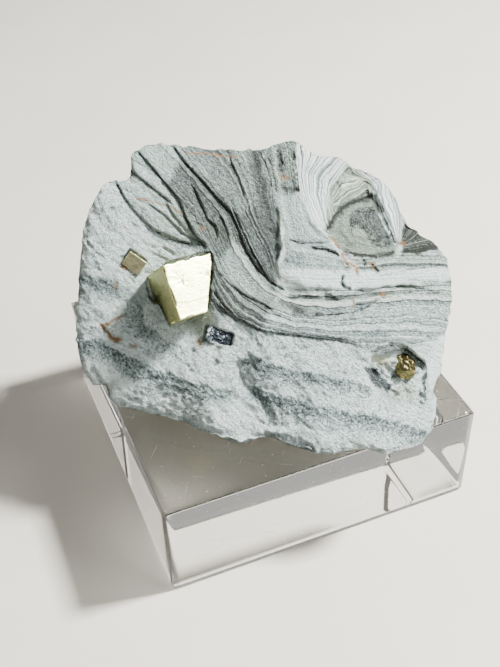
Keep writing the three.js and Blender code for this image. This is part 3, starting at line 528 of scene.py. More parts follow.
# Rust, as line, half width, strength
RUST = [
    ([[-15.6, 31.8], [-12, 31.4], [-8, 30.8], [-5, 30.6]], 0.22, 0.7),
    ([[-26.6, 22.4], [-22.4, 21.4], [-18.6, 19.8], [-16.8, 18.6]], 0.25, 0.7),
    ([[-29.2, 16.2], [-28.4, 15.4]], 0.25, 0.7),
    ([[-29.4, 8.2], [-28.6, 7.4]], 0.5, 0.7),
    ([[-30.8, 4.6], [-31.6, 3.4]], 0.35, 0.6),
    ([[-34.6, -4.6], [-33, -6.4], [-31.2, -7.8]], 0.45, 0.9),
    ([[-34.6, -4.6], [-32.6, -4], [-30.2, -2.8]], 0.35, 0.8),
    ([[-28.6, -9.2], [-27.4, -9]], 0.4, 0.5),
    ([[-14.2, -8.2], [-13.8, -9.2]], 0.4, 0.7),
    ([[16.4, 9.4], [18, 7.2], [19.8, 5]], 0.35, 0.8),
    ([[22.6, 7], [23.4, 5.8]], 0.3, 0.7),
    ([[24.4, 0.6], [25.4, -0.2]], 0.45, 0.8),
    ([[18.6, -0.6], [18.8, -2]], 0.25, 0.7),
    ([[28.8, 11.4], [30, 11]], 0.4, 0.7),
    ([[14, 13.4], [15.8, 11]], 0.25, 0.7),
    ([[24, -13.4], [26, -13.6]], 0.5, 0.35),
    ([[4.6, 26.4], [5.6, 26.2]], 0.6, 0.5),
    ([[-12.6, 15.8], [-13.4, 15.6]], 0.4, 0.4),
]

# The rock's greys, from tone 0 to 1
ROCK_GREYS = [
    (0.0, (0.028, 0.034, 0.033)), (0.25, (0.12, 0.155, 0.156)), (0.5, (0.295, 0.395, 0.385)),
    (0.75, (0.57, 0.71, 0.685)), (1.0, (0.85, 0.99, 0.96)),
]
# What each part adds to the tone, and to the height of the bump
TONE_OF_LAYERS, TONE_OF_GRAIN, TONE_OF_STREAKS = 1.3, 0.8, 0.7
BUMP_OF_LAYERS, BUMP_OF_GRAIN, BUMP_OF_STREAKS, BUMP_OF_LINES = 0.8, 2.0, 2.4, 0.5


# Shared mathematics: every function takes whole arrays of points at once

def smooth(value):
    """Eased step: 0 below 0, 1 above 1, and 3t^2 - 2t^3 between them."""
    t = np.clip(value, 0, 1)
    return t * t * (3 - 2 * t)


def uneven(x, y):
    """Rise and fall between -1 and 1 with no plain repeat: the mean of four sine waves across and up."""
    return (np.sin(0.83 * x + 1.3 * np.sin(0.41 * y)) + np.sin(0.71 * y - 0.62 * x + 2.1)
            + np.sin(1.37 * x + 1.13 * y + np.sin(0.5 * x)) + np.sin(1.71 * y - 0.3 * x)) / 4


def noise(points, cell, seed=0):
    """Smooth noise between -1 and 1: fixed pseudo-random values at the corners of a lattice of the given
    cell size, blended between the corners with eased weights."""
    place = points / cell
    base = np.floor(place).astype(np.int64)
    share = smooth(place - base)
    total = np.zeros(len(points))
    for corner in range(2 ** points.shape[1]):
        step = (corner >> np.arange(points.shape[1])) & 1
        index = base + step
        mixed = seed * 83492791 + index @ np.array([73856093, 19349663, 50331653][:points.shape[1]])
        mixed = (mixed ^ (mixed >> 13)) * 1274126177 & 0x7FFFFFFF
        value = ((mixed ^ (mixed >> 11)) & 0xFFFF) / 32767.5 - 1
        total += value * np.prod(np.where(step, share, 1 - share), axis=1)
    return total


def rough(points, cell, seed=0, octaves=3):
    """Sum of noises, each with half the cell and 0.55 of the height of the one before."""
    return sum(0.55 ** k * noise(points, cell / 2 ** k, seed + k) for k in range(octaves))


def chips(points, cell, seed=0):
    """Broken, faceted noise: 1 less 1.6 times the larger of two noises' sizes. It is 1 where both cross 0,
    and falls in sharp-edged planes from there."""
    first = np.abs(noise(points, cell, seed))
    second = np.abs(noise(points, cell * 0.8, seed + 7))
    return 1 - np.maximum(first, second) * 1.6


def fade_at_ends(along, share):
    """1 along a line, easing down to 0 over the given share of it at each end."""
    return smooth(along / share) * smooth((1 - along) / share)


def nearest(line, x, y, closed=False):
    """Distance to a line of points, the side (+1 to its left) and the share of the way along it."""
    points = np.array(line, dtype=float)
    ends = np.roll(points, -1, axis=0)
    count = len(points) if closed else len(points) - 1
    distance = np.full(x.shape, np.inf)
    side = np.ones(x.shape)
    along = np.zeros(x.shape)
    for i in range(count):
        (ax, ay), (dx, dy) = points[i], ends[i] - points[i]
        t = np.clip(((x - ax) * dx + (y - ay) * dy) / (dx * dx + dy * dy), 0, 1)
        away = np.hypot(x - ax - t * dx, y - ay - t * dy)
        closer = away < distance
        distance[closer] = away[closer]
        side[closer] = np.where(dx * (y - ay) - dy * (x - ax) < 0, -1, 1)[closer]
        along[closer] = ((i + t) / count)[closer]
    return distance, side, along


def inward(edge, x, y):
    """Distance to a closed edge, more than 0 inside it and less than 0 outside."""
    inside = np.zeros(x.shape, dtype=bool)
    for (ax, ay), (bx, by) in zip(edge, edge[1:] + edge[:1]):
        if ay != by:
            inside ^= ((ay > y) != (by > y)) & (x < (bx - ax) * (y - ay) / (by - ay) + ax)
    distance = nearest(edge, x, y, closed=True)[0]
    return np.where(inside, distance, -distance)


def near(line, x, y, margin):
    """Which points lie within the margin of the line's bounding box."""
    low = np.min(line, axis=0) - margin
    high = np.max(line, axis=0) + margin
    return (x > low[0]) & (x < high[0]) & (y > low[1]) & (y < high[1])


class ThinPlate:
    """The smoothest sheet through the given values: a plane plus r^2 log r of the distance r to each guide
    point, its weights found by solving the linear equations that the values give."""

    def __init__(self, guides):
        rows = [(x, y, value) for value, line in guides for x, y in densify(line)]
        self.points = np.array(rows)[:, :2]
        values = np.array(rows)[:, 2]
        count = len(values)
        system = np.zeros((count + 3, count + 3))
        system[:count, :count] = self.kernel(self.points) + 0.5 * np.eye(count)
        system[:count, count:] = np.column_stack([np.ones(count), self.points])
        system[count:, :count] = system[:count, count:].T
        self.weights = np.linalg.solve(system, np.concatenate([values, np.zeros(3)]))

    def kernel(self, points):
        """Half the squared distance to each guide point times its logarithm, which is r^2 log r."""
        square = ((points[:, None, :] - self.points[None, :, :]) ** 2).sum(axis=2) + 1e-9
        return 0.5 * square * np.log(square)

    def __call__(self, x, y):
        parts = [
            self.kernel(chunk) @ self.weights[:-3] + self.weights[-3] + chunk @ self.weights[-2:]
            for chunk in np.array_split(np.column_stack([x, y]), 16)
        ]
        return np.concatenate(parts)


def densify(line, step=3.0):
    """The line's points with more put between them, no further apart than the step."""
    points = np.array(line, dtype=float)
    dense = [points[:1]]
    for start, end in zip(points, points[1:]):
        count = max(1, math.ceil(np.hypot(*(end - start)) / step))
        dense.append(start + (end - start) * (np.arange(1, count + 1) / count)[:, None])
    return np.concatenate(dense)


def to_row_frame(points):
    """Points given in the face's frame, in the row frame."""
    return points @ FACE_AXES + FACE_ORIGIN


def turn_matrix(degrees):
    """Turn about z, then y, then x, as one matrix."""
    rx, ry, rz = (np.array(Matrix.Rotation(math.radians(angle), 3, axis))
                  for angle, axis in zip(degrees, "XYZ"))
    return rx @ ry @ rz


# Mesh and material helpers

def in_scene(name, data):
    """A new object for the data, linked to the scene."""
    made = bpy.data.objects.new(name, data)
    bpy.context.scene.collection.objects.link(made)
    return made


def new_piece(name, points, faces, node, material, smooth_shading=True):
    """A mesh object at the origin from points in millimetres, standing for a node of the frame."""
    mesh = bpy.data.meshes.new(name)
    mesh.from_pydata(np.asarray(points, dtype=float) * MM, [], [])
    write_faces(mesh, faces)
    mesh.materials.append(material)
    mesh.polygons.foreach_set("use_smooth", np.full(len(mesh.polygons), smooth_shading))
    piece = in_scene(name, mesh)
    if node:
        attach(piece, BODY)
        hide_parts(node)
    return piece


def write_faces(mesh, faces):
    """Writes an array of faces, all with the same number of corners, into a mesh that has its points."""
    faces = np.asarray(faces, dtype=np.int32)
    mesh.loops.add(faces.size)
    mesh.polygons.add(len(faces))
    mesh.loops.foreach_set("vertex_index", faces.ravel())
    mesh.polygons.foreach_set("loop_start", np.arange(len(faces), dtype=np.int32) * faces.shape[1])
    mesh.update(calc_edges=True)
    mesh.validate()


def paint(piece, name, values):
    """Writes one number for each point as an attribute that the piece's material reads."""
    attribute = piece.data.attributes.new(name, "FLOAT", "POINT")
    attribute.data.foreach_set("value", np.asarray(values, dtype=np.float32))


def point_normals(points, faces):
    """Unit normal at each point: the sum of the area-weighted normals of the faces round it."""
    corners = points[faces]
    face_normals = np.cross(corners[:, 1] - corners[:, 0], corners[:, 2] - corners[:, 0])
    normals = np.column_stack([
        sum(np.bincount(faces[:, k], face_normals[:, axis], len(points)) for k in range(faces.shape[1]))
        for axis in range(3)
    ])
    return normals / np.maximum(np.linalg.norm(normals, axis=1), 1e-12)[:, None]


def rgba(colour):
    """A colour with full cover."""
    return (*colour[:3], 1.0)


def tinted(colour, *shares):
    """A colour, each part of it times its share."""
    return tuple(part * share for part, share in zip(colour, shares))


class Nodes:
    """Short way to lay out a material's or a group's nodes."""

    def __init__(self, tree):
        self.tree = tree

    def feed(self, node, inputs):
        """Gives the node's inputs, by name or number, a plain value or a link."""
        for key, value in inputs.items():
            if isinstance(value, bpy.types.NodeSocket):
                self.tree.links.new(value, node.inputs[key])
            else:
                node.inputs[key].default_value = value

    def add(self, kind, inputs=None, **settings):
        node = self.tree.nodes.new(kind)
        for name, value in settings.items():
            setattr(node, name, value)
        self.feed(node, inputs or {})
        return node

    def math(self, operation, first, second=0.5, clamp=False):
        node = self.add("ShaderNodeMath", {0: first, 1: second}, operation=operation, use_clamp=clamp)
        return node.outputs[0]

    def times(self, first, second, clamp=False):
        return self.math("MULTIPLY", first, second, clamp)

    def plus(self, base, value, amount=1.0, clamp=False):
        """The base plus the value times the amount."""
        return self.math("ADD", base, self.times(value, amount), clamp)

    def centred(self, value, amount):
        """The value less a half, times the amount."""
        return self.times(self.math("SUBTRACT", value, 0.5), amount)

    def mix(self, factor, first, second, blend="MIX"):
        inputs = {0: factor, 6: first, 7: second}
        return self.add("ShaderNodeMix", inputs, data_type="RGBA", blend_type=blend).outputs[2]

    def ramp(self, factor, stops):
        node = self.add("ShaderNodeValToRGB", {0: factor})
        elements = node.color_ramp.elements
        while len(elements) < len(stops):
            elements.new(0.5)
        for element, (position, colour) in zip(elements, stops):
            element.position = position
            element.color = rgba(colour)
        return node.outputs[0]

    def band(self, value, low, high, start=0.0, end=1.0):
        """Value mapped from low..high to start..end with an eased step."""
        node = self.add("ShaderNodeMapRange", {0: value, 1: low, 2: high, 3: start, 4: end},
                        interpolation_type="SMOOTHSTEP")
        return node.outputs[0]

    def noise(self, place, scale, detail=3.0, roughness=0.55, dimensions="3D"):
        inputs = {"W" if dimensions == "1D" else "Vector": place, "Scale": scale, "Detail": detail,
                  "Roughness": roughness}
        return self.add("ShaderNodeTexNoise", inputs, noise_dimensions=dimensions).outputs[0]

    def attribute(self, name):
        return self.add("ShaderNodeAttribute", attribute_name=name).outputs["Fac"]

    def position(self, scale=1 / MM, turn=(0, 0, 0), stretch=(1, 1, 1)):
        """Object coordinates in millimetres, turned and then stretched."""
        place = self.add("ShaderNodeTexCoord").outputs["Object"]
        turned = self.add("ShaderNodeMapping", {0: place, 2: turn}, vector_type="POINT").outputs[0]
        return self.add("ShaderNodeVectorMath", {0: turned, 1: [scale * s for s in stretch]},
                        operation="MULTIPLY").outputs[0]


def new_material(name):
    """A new material, its nodes and its shader."""
    material = bpy.data.materials.new(name)
    material.use_nodes = True
    return material, Nodes(material.node_tree), material.node_tree.nodes["Principled BSDF"]


def bump(nodes, height, strength, distance):
    """A bumped normal, where a height of 1 stands for the distance in millimetres."""
    inputs = {"Strength": strength, "Distance": distance * MM, "Height": height}
    return nodes.add("ShaderNodeBump", inputs).outputs[0]


def grain_group():
    """Node group for stone, crystal and crust grain: 1.1 times the coarse specks plus 1.3 times the fine
    ones, less 0.7."""
    name = "Mineral grain"
    if name in bpy.data.node_groups:
        return bpy.data.node_groups[name]
    group = bpy.data.node_groups.new(name, "ShaderNodeTree")
    for socket, kind in (("Vector", "NodeSocketVector"), ("Coarse", "NodeSocketFloat"),
                         ("Fine", "NodeSocketFloat")):
        group.interface.new_socket(name=socket, in_out="INPUT", socket_type=kind)
    group.interface.new_socket(name="Grain", in_out="OUTPUT", socket_type="NodeSocketFloat")
    nodes = Nodes(group)
    source = nodes.add("NodeGroupInput").outputs
    coarse = nodes.noise(source["Vector"], source["Coarse"], 3.0, 0.7)
    fine = nodes.noise(source["Vector"], source["Fine"], 2.0, 0.8)
    total = nodes.plus(nodes.times(coarse, 1.1), fine, 1.3)
    nodes.add("NodeGroupOutput", {0: nodes.math("SUBTRACT", total, 0.7)})
    return group


def grain(nodes, place, coarse, fine):
    """Specks from the shared group, at a coarse and a fine scale."""
    return nodes.add("ShaderNodeGroup", {0: place, 1: coarse, 2: fine}, node_tree=grain_group()).outputs[0]


# The rock

def rim_table():
    """Radius of the outline by angle: a closed, centripetal Catmull-Rom curve through the outline's points,
    as whole arrays, with OUTLINE_STEPS points to each of its spans."""
    before, start, end, after = (np.roll(OUTLINE, shift, axis=0) for shift in (1, 0, -1, -2))
    gaps = [np.linalg.norm(b - a, axis=1)[:, None] ** 0.5 for a, b in
            ((before, start), (start, end), (end, after))]
    leave = ((start - before) / gaps[0] - (end - before) / (gaps[0] + gaps[1])
             + (end - start) / gaps[1]) * gaps[1]
    arrive = ((end - start) / gaps[1] - (after - start) / (gaps[1] + gaps[2])
              + (after - end) / gaps[2]) * gaps[1]
    t = (np.arange(OUTLINE_STEPS) / OUTLINE_STEPS)[:, None, None]
    curve = (start + leave * t + (-3 * start + 3 * end - 2 * leave - arrive) * t ** 2
             + (2 * start - 2 * end + leave + arrive) * t ** 3).reshape(-1, 2)
    angles = np.arctan2(curve[:, 1], curve[:, 0])
    order = np.argsort(angles)
    return angles[order], np.hypot(*curve.T)[order]


RIM_ANGLES, RIM_RADII = rim_table()


def square_to_outline(s, t, scale=1.0):
    """A square's points, each of s and t from -1 to 1, drawn out to a disc and then to the outline."""
    x = s * np.sqrt(1 - t * t / 2)
    y = t * np.sqrt(1 - s * s / 2)
    radius = np.interp(np.arctan2(y, x), RIM_ANGLES, RIM_RADII, period=2 * math.pi)
    return x * radius * scale, y * radius * scale, radius * (1 - np.hypot(x, y))


def standing_height(y, out):
    """Height above the ground of a point of the face's frame: the origin's height, plus y and out times
    their rise."""
    return FACE_ORIGIN[2] + y * UPWARD[2] + out * OUTWARD[2]


def resting_out(x, y):
    """How far out the level plane that the rock rests on lies, on each point's line to EYE."""
    here = standing_height(y, 0)
    return EYE[2] * (BLOCK_TOP + GAP - here) / (standing_height(EYE[1], EYE[2]) - here)


def set_out(x, y, out):
    """Each point of the face plane, moved along its line to EYE until it is out by the given amount."""
    flat = np.column_stack([x, y, np.zeros(len(x))])
    return flat + (EYE - flat) * (out / EYE[2])[:, None]


def crease_height(line, dent, width, lift, reach, x, y):
    """A dent along the line, minus dent times a bell curve of the distance, and on the line's left a lift
    that eases in over the width and dies away over the reach. Both fade out at the line's ends."""
    height = np.zeros(x.shape)
    here = near(line, x, y, max(3 * width, 4 * reach if lift else 0))
    distance, side, along = nearest(line, x[here], y[here])
    rise = np.where(side > 0, lift * smooth(distance / width) * np.exp(-distance / reach), 0)
    height[here] = fade_at_ends(along, CREASE_FADE) * (rise - dent * np.exp(-(distance / width) ** 2))
    return height


def face_out(x, y, inside):
    """How far out the face is: blended spot heights, creases, patches, the eyeball, a drop at the rim and
    a little unevenness, eased off so that it never goes below the resting plane."""
    spots = np.exp(-((x[:, None] - SPOTS[:, 0]) ** 2 + (y[:, None] - SPOTS[:, 1]) ** 2)
                   / (2 * SPOT_REACH ** 2)) + 1e-9
    out = spots @ SPOTS[:, 2] / spots.sum(axis=1)
    for line, dent, width, lift, reach in CREASES + FINE_CREASES:
        out += crease_height(line, dent, width, lift, reach, x, y)
    for edge, level, width in PATCHES:
        out += level * smooth(0.5 + inward(edge, x, y) / width)
    from_eyeball = np.hypot(x - EYEBALL_AT[0], y - EYEBALL_AT[1]) / EYEBALL_RADIUS
    out += EYEBALL_RISE * smooth(EYEBALL_EDGE - from_eyeball)
    out -= RIM_DROP * np.exp(-inside / RIM_REACH)
    out += FACE_ROUGHNESS * uneven(x, y)
    spare = out - resting_out(x, y) - MIN_WALL
    return out + 0.5 * (np.sqrt(spare * spare + RESTING_BLEND ** 2) - spare)


def back_out(x, y):
    """The back: the outermost of its planes at each point, and a little unevenness."""
    facets = [level + across * x + up * y for level, across, up in BACK_FACETS]
    return np.max(facets, axis=0) + BACK_ROUGHNESS * uneven(BACK_STRETCH * x, BACK_STRETCH * y)


def back_rim_out(x, y, front):
    """The back, kept behind the front by a least wall, and never below the resting plane."""
    return np.maximum(np.minimum(back_out(x, y), front - MIN_WALL), resting_out(x, y))


def ring_places(cells):
    """Grid places (i, j) round the edge of a square of cells, starting from its first corner."""
    step = np.arange(cells)
    flat = np.zeros(cells, dtype=int)
    i = np.concatenate([step, flat + cells, cells - step, flat])
    j = np.concatenate([flat, step, flat + cells, cells - step])
    return i, j


def square_grid(cells):
    """Points (s, t) of a square grid of cells, each from -1 to 1, row by row."""
    line = np.linspace(-1, 1, cells + 1)
    return [g.ravel() for g in np.meshgrid(line, line)]


def sheet_faces(cells, first, flip):
    """Four-cornered faces of a grid of cells whose points start at the given number."""
    start = np.arange(cells)
    a = (start[:, None] * (cells + 1) + start[None, :]).ravel() + first
    corners = [a, a + 1, a + cells + 2, a + cells + 1]
    return np.column_stack(corners[::-1] if flip else corners)


def wall_rings(rim_x, rim_y, rings):
    """Rings of the wall, from the face's rim to the back's, drawn in by a power of their share of the way."""
    front = face_out(rim_x, rim_y, np.zeros(len(rim_x)))
    rear = back_rim_out(rim_x * BACK_RIM, rim_y * BACK_RIM, front)
    wall = []
    for ring in range(1, rings + 1):
        share = ring / (rings + 1)
        scale = 1 - (1 - BACK_RIM) * share ** WALL_CURVE
        out = front + (rear - front) * share
        wall.append([rim_x * scale, rim_y * scale, out, 0 * out - share * (front - rear), 0 * out + 1])
    return wall


def skin_triangles(points, cells, rings):
    """Triangles of the closed skin: the face's and the back's cells and those between the rings, each split
    along its shorter diagonal, and the seam from the last ring to the back's rim, which has half as many
    points."""
    half = cells // 2
    size = 4 * cells
    wall_first = (cells + 1) ** 2
    back_first = wall_first + rings * size
    quads = [sheet_faces(cells, 0, False), sheet_faces(half, back_first, True)]
    i, j = ring_places(cells)
    ring = j * (cells + 1) + i
    for number in range(rings):
        following = wall_first + number * size + np.arange(size)
        quads.append(np.column_stack([ring, following, np.roll(following, -1), np.roll(ring, -1)]))
        ring = following
    quads = np.concatenate(quads)
    spans = [np.linalg.norm(points[quads[:, k]] - points[quads[:, k + 2]], axis=1) for k in (0, 1)]
    shorter = (spans[0] < spans[1])[:, None]
    first = np.where(shorter, quads[:, [0, 1, 2]], quads[:, [0, 1, 3]])
    second = np.where(shorter, quads[:, [0, 2, 3]], quads[:, [1, 2, 3]])
    i, j = ring_places(half)
    d = back_first + j * (half + 1) + i
    e = np.roll(d, -1)
    a, b, c = ring[0::2], ring[1::2], np.roll(ring, -2)[0::2]
    seam = [np.column_stack(three) for three in ((a, d, b), (b, e, c), (b, d, e))]
    return np.concatenate([first, second, *seam])


def rock_skin(cells, rings):
    """One closed skin. The face sheet has cells x cells, the back sheet half as many each way, and the wall
    runs in rings between their rims. Gives the points in the face's frame, the place of each on the face
    plane, how far each lies inside the rim, its part (0 face, 1 wall, 2 back) and the triangles."""
    x, y, inside = square_to_outline(*square_grid(cells))
    face = [x, y, face_out(x, y, inside), inside, np.zeros(len(x))]
    i, j = ring_places(cells)
    rim_x, rim_y, _ = square_to_outline(2 * i / cells - 1, 2 * j / cells - 1)
    x, y, inside = square_to_outline(*square_grid(cells // 2), BACK_RIM)
    out = back_rim_out(x, y, face_out(x / BACK_RIM, y / BACK_RIM, np.zeros(len(x))))
    back = [x, y, out, inside, 0 * out + 2]
    sheets = zip(face, *wall_rings(rim_x, rim_y, rings), back)
    x, y, out, inside, part = (np.concatenate(rows) for rows in sheets)
    points = set_out(x, y, out)
    return points, (x, y), inside, part, skin_triangles(points, cells, rings)


def layer_field(x, y):
    """Number of the rock's layer at each point of the face plane, with its own field round the eye."""
    plain = ThinPlate(LAYERS)(x, y)
    eye = 30 + 1.2 * ThinPlate(EYE_LAYERS)(x, y)
    share = smooth(0.5 + inward(EYE_ZONE, x, y) / 0.3)
    return plain + (eye - plain) * share


def painted(x, y):
    """The look at each point, as columns of tone, warmth, banding and grain, and its rust. Areas are blended
    over their soft edges, one over another. Then the tone gets the stripes, which start below their edge and
    end with exp(-d^3), and the wide strokes, with exp(-d^3) too. Rust is laid on with exp(-d^2). Each d is
    the distance to the line, measured in its reach or half width."""
    plane = np.column_stack([x, y])
    wx = x + EDGE_WAVER * rough(plane, 2.5, 3)
    wy = y + EDGE_WAVER * rough(plane, 2.5, 9)
    look = np.tile(BASE_LOOK, (len(x), 1))
    # Some areas are painted shade: the strip left of the slab, the hollow above it and the pit's upper right
    # wall
    for edge, softness, *goal in AREAS:
        share = smooth(0.5 + inward(edge, wx, wy) / (2 * softness))
        look += (np.array(goal) - look) * share[:, None]
    look[:, 1] += WARMTH_PATCHES * rough(plane, WARMTH_PATCH_SIZE, 33, 2)
    strength = 1 + INK_PATCHES * rough(plane, INK_PATCH_SIZE, 21)
    tone = look[:, 0]
    for line, reach, amount in STRIPES:
        here = near(line, wx, wy, 3 * reach)
        distance, side, along = nearest(line, wx[here], wy[here])
        below = np.where(side < 0, distance, 0)
        shape = smooth(below / STRIPE_EDGE) * np.exp(-(below / reach) ** 3)
        tone[here] += amount * fade_at_ends(along, STROKE_FADE) * shape * strength[here]
    # The wide strokes carry painted shade beside creases and one patch of painted light at the lower left
    for line, half_width, amount in WIDE_STROKES:
        here = near(line, wx, wy, 3 * half_width)
        distance, _, along = nearest(line, wx[here], wy[here])
        shape = np.exp(-(distance / half_width) ** 3)
        tone[here] += amount * fade_at_ends(along, STROKE_FADE) * shape * strength[here]
    rust = np.zeros(x.shape)
    for line, half_width, amount in RUST:
        here = near(line, wx, wy, 4 * half_width)
        distance, _, _ = nearest(line, wx[here], wy[here])
        patchy = 0.5 + 0.5 * strength[here]
        rust[here] = np.maximum(rust[here], amount * patchy * np.exp(-(distance / half_width) ** 2))
    return look, rust


def thin_lines(x, y):
    """Signed distance of each point to the nearest thin line, in that line's half widths, and the tone that
    the line adds, which fades towards its ends and away from it. The sign lets the material find the line
    between two points of the mesh."""
    closest = np.full(x.shape, LINE_REACH)
    across = np.full(x.shape, FAR_ACROSS)
    added = np.zeros(x.shape)
    # Many thin lines are painted shade, in creases and where the crystals meet the rock
    for line, half_width, amount in THIN_STROKES:
        here = np.flatnonzero(near(line, x, y, LINE_REACH))
        distance, side, along = nearest(line, x[here], y[here])
        closer = distance < closest[here]
        here = here[closer]
        closest[here] = distance[closer]
        across[here] = (side * distance / half_width)[closer]
        added[here] = (amount * fade_at_ends(along, STROKE_FADE))[closer]
    return across, added * (1 - smooth((closest / LINE_REACH - 0.6) / 0.4))


def rock_relief(points, place, inside, part, layer, banding):
    """Small relief along the normals, in millimetres, as a sum of noises. On the face these are ledges, a
    noise of the layer number, grain that is drawn out down to the right, crumbs, swells and the pit's
    rubble. On the wall and the back they are chipped planes, grain and ledges. The rim is drawn in and
    chipped, and the sum is lowered towards the foot."""
    x, y = place
    plane = np.column_stack([x, y])
    face = (part == 0) * smooth(inside / 0.8)
    ledges = (noise(np.column_stack([layer * 1.3, 0.05 * (x + y)]), 1.0, 31)
              + 0.6 * noise(np.column_stack([layer * 2.6, 0.12 * (x + y)]), 1.0, 37))
    streak = np.column_stack([(x + y) * 0.9, (x - y) * 0.4])
    hackle = noise(streak, 0.8, 41) + 0.7 * noise(plane, 0.7, 43)
    granular = smooth((GRANULAR_LAYER - layer) / GRANULAR_EASE)
    grain_height = (GRAIN_HEIGHT + GRANULAR_GRAIN * granular) * (1 - 0.6 * banding)
    relief = face * (LEDGE_HEIGHT * banding * ledges + grain_height * hackle)
    relief += face * (CRUMB_HEIGHT + GRANULAR_CRUMBS * granular * (1 - banding)) * rough(plane, 0.9, 47, 2)
    relief += face * SWELL_HEIGHT * noise(plane, 5.0, 53)
    in_pit = smooth(inward(PIT_EDGE, x, y) / 1.2)
    relief += face * in_pit * (RUBBLE_HEIGHT * rough(plane, 1.5, 57, 3) + RUBBLE_RISE)
    away = 1 - (part == 0)
    deep = smooth(-inside / 5) * (part == 1) + (part == 2)
    broken = CHIP_HEIGHT * chips(points, 6.0, 61) - CHIP_MEAN + WALL_GRAIN * rough(points, 1.6, 67, 2)
    relief += away * (RIM_SHARE + (1 - RIM_SHARE) * deep) * broken
    relief += away * WALL_LEDGES * banding * ledges
    rim = np.exp(-np.abs(inside) / RIM_WIDTH) * (part < 2)
    relief -= rim * (RIM_SINK + RIM_CHIPS * np.maximum(0, 0.75 - chips(points, 3.4, 71))
                     + RIM_GRAIN * noise(points, 1.1, 73))
    stand = to_row_frame(points)[:, 2] - BLOCK_TOP - GAP
    return relief * (FOOT_SHARE + (1 - FOOT_SHARE) * smooth(stand / FOOT_RISE))


def layer_pattern(nodes, warped):
    """Tone of the layers from their warped number: broad and fine noise, less thin dark lines."""
    broad = nodes.noise(warped, 0.75, 2, 0.5, "1D")
    fine = nodes.noise(warped, 3.0, 3, 0.7, "1D")
    thin = nodes.band(nodes.noise(warped, 2.9, 1, 0.5, "1D"), 0.36, 0.46, 1.0, 0.0)
    return nodes.plus(nodes.plus(nodes.centred(broad, 1.0), nodes.centred(fine, 0.9)), thin, -0.26)


def drawn_lines(nodes, place):
    """The thin lines: where the signed distance, made to wander a little, is near 0. Gives their tone, and
    the same tone with uneven ink."""
    wander = nodes.centred(nodes.noise(place, 1.3, 3, 0.7), 3.5)
    across = nodes.math("ABSOLUTE", nodes.plus(nodes.attribute("line_across"), wander))
    drawn = nodes.times(nodes.band(across, 0.4, 1.1, 1.0, 0.0), nodes.attribute("line_tone"))
    return drawn, nodes.times(drawn, nodes.band(nodes.noise(place, 0.45, 2), 0.35, 0.65, 0.6, 1.7))


def rock_material(props):
    """Banded stone: the painted tone, plus layers, grain, diagonal streaks and thin lines, through a grey
    ramp, then warmed along some layers and rusted along some cracks."""
    material, nodes, shader = new_material("Banded matrix")
    place = nodes.position()
    banding, granular = nodes.attribute("banding"), nodes.attribute("granular")
    warped = nodes.plus(nodes.attribute("layer"), nodes.noise(place, 0.2, 4, 0.6), 1.4)
    layers = nodes.times(layer_pattern(nodes, warped), banding)
    streak_place = nodes.add("ShaderNodeCombineXYZ", {0: nodes.attribute("streak_u"),
                                                      1: nodes.attribute("streak_v")}).outputs[0]
    streaks = nodes.centred(nodes.noise(streak_place, 1.0, 3, 0.75), granular)
    specks = grain(nodes, place, 1.5, 4.2)
    grains = nodes.centred(specks, granular)
    # The painted tone and the thin lines hold painted shade in creases and seams, and a patch of painted
    # light
    drawn, inked = drawn_lines(nodes, place)
    tone = nodes.plus(nodes.attribute("tone"), layers, TONE_OF_LAYERS)
    tone = nodes.plus(tone, grains, TONE_OF_GRAIN)
    tone = nodes.plus(tone, streaks, TONE_OF_STREAKS)
    greys = nodes.ramp(nodes.plus(tone, inked), ROCK_GREYS)
    beige = nodes.times(nodes.band(nodes.noise(warped, 1.6, 2, 0.6, "1D"), 0.5, 0.7), banding)
    warmth = nodes.plus(nodes.attribute("warmth"), beige, 0.5, clamp=True)
    warm = nodes.mix(warmth, greys, rgba(props.warm_tint), "MULTIPLY")
    rusted = nodes.times(nodes.attribute("rust"), nodes.band(specks, 0.2, 0.6, 0.5, 1.5), clamp=True)
    height = nodes.plus(nodes.times(grains, BUMP_OF_GRAIN), streaks, BUMP_OF_STREAKS)
    height = nodes.plus(nodes.plus(height, layers, BUMP_OF_LAYERS), drawn, BUMP_OF_LINES)
    nodes.feed(shader, {
        "Base Color": nodes.mix(rusted, warm, rgba(props.rust_colour)), "Roughness": 0.86,
        "Specular IOR Level": 0.35, "Normal": bump(nodes, height, 1.0, 2.4),
    })
    return material


def build_rock(props):
    """The rock: its skin with the small relief, its look on the face blended to the wall's, and the
    attributes that its material reads."""
    points, (x, y), inside, part, faces = rock_skin(props.face_cells, WALL_RINGS)
    face = part == 0
    look, rust = painted(x, y)
    blend = smooth(-inside / 2.5) * (part == 1) + (part == 2)
    wall = np.tile(WALL_LOOK, (len(x), 1))
    wall[:, 0] += WALL_PATCHES * noise(points, 9.0, 81)
    look += (wall - look) * blend[:, None]
    tone, warmth, banding, granular = look.T
    layer = layer_field(x, y) + blend * 0.35 * (points[:, 2] + 6)
    points = to_row_frame(points)
    normals = point_normals(points, faces)
    points = points + normals * rock_relief(points, (x, y), inside, part, layer, banding)[:, None]
    points[:, 2] = np.maximum(points[:, 2], BLOCK_TOP + GAP)
    rock = new_piece("banded_rock", points, faces, "matrix", rock_material(props))
    across, line_tone = thin_lines(x, y)
    for name, values in {
        "tone": tone, "warmth": warmth, "banding": banding, "layer": layer, "granular": granular,
        "rust": rust * face, "line_across": across, "line_tone": line_tone * face,
        "streak_u": (x + y) * 1.7, "streak_v": (x - y) * 0.5,
    }.items():
        paint(rock, name, values)


# The crystals

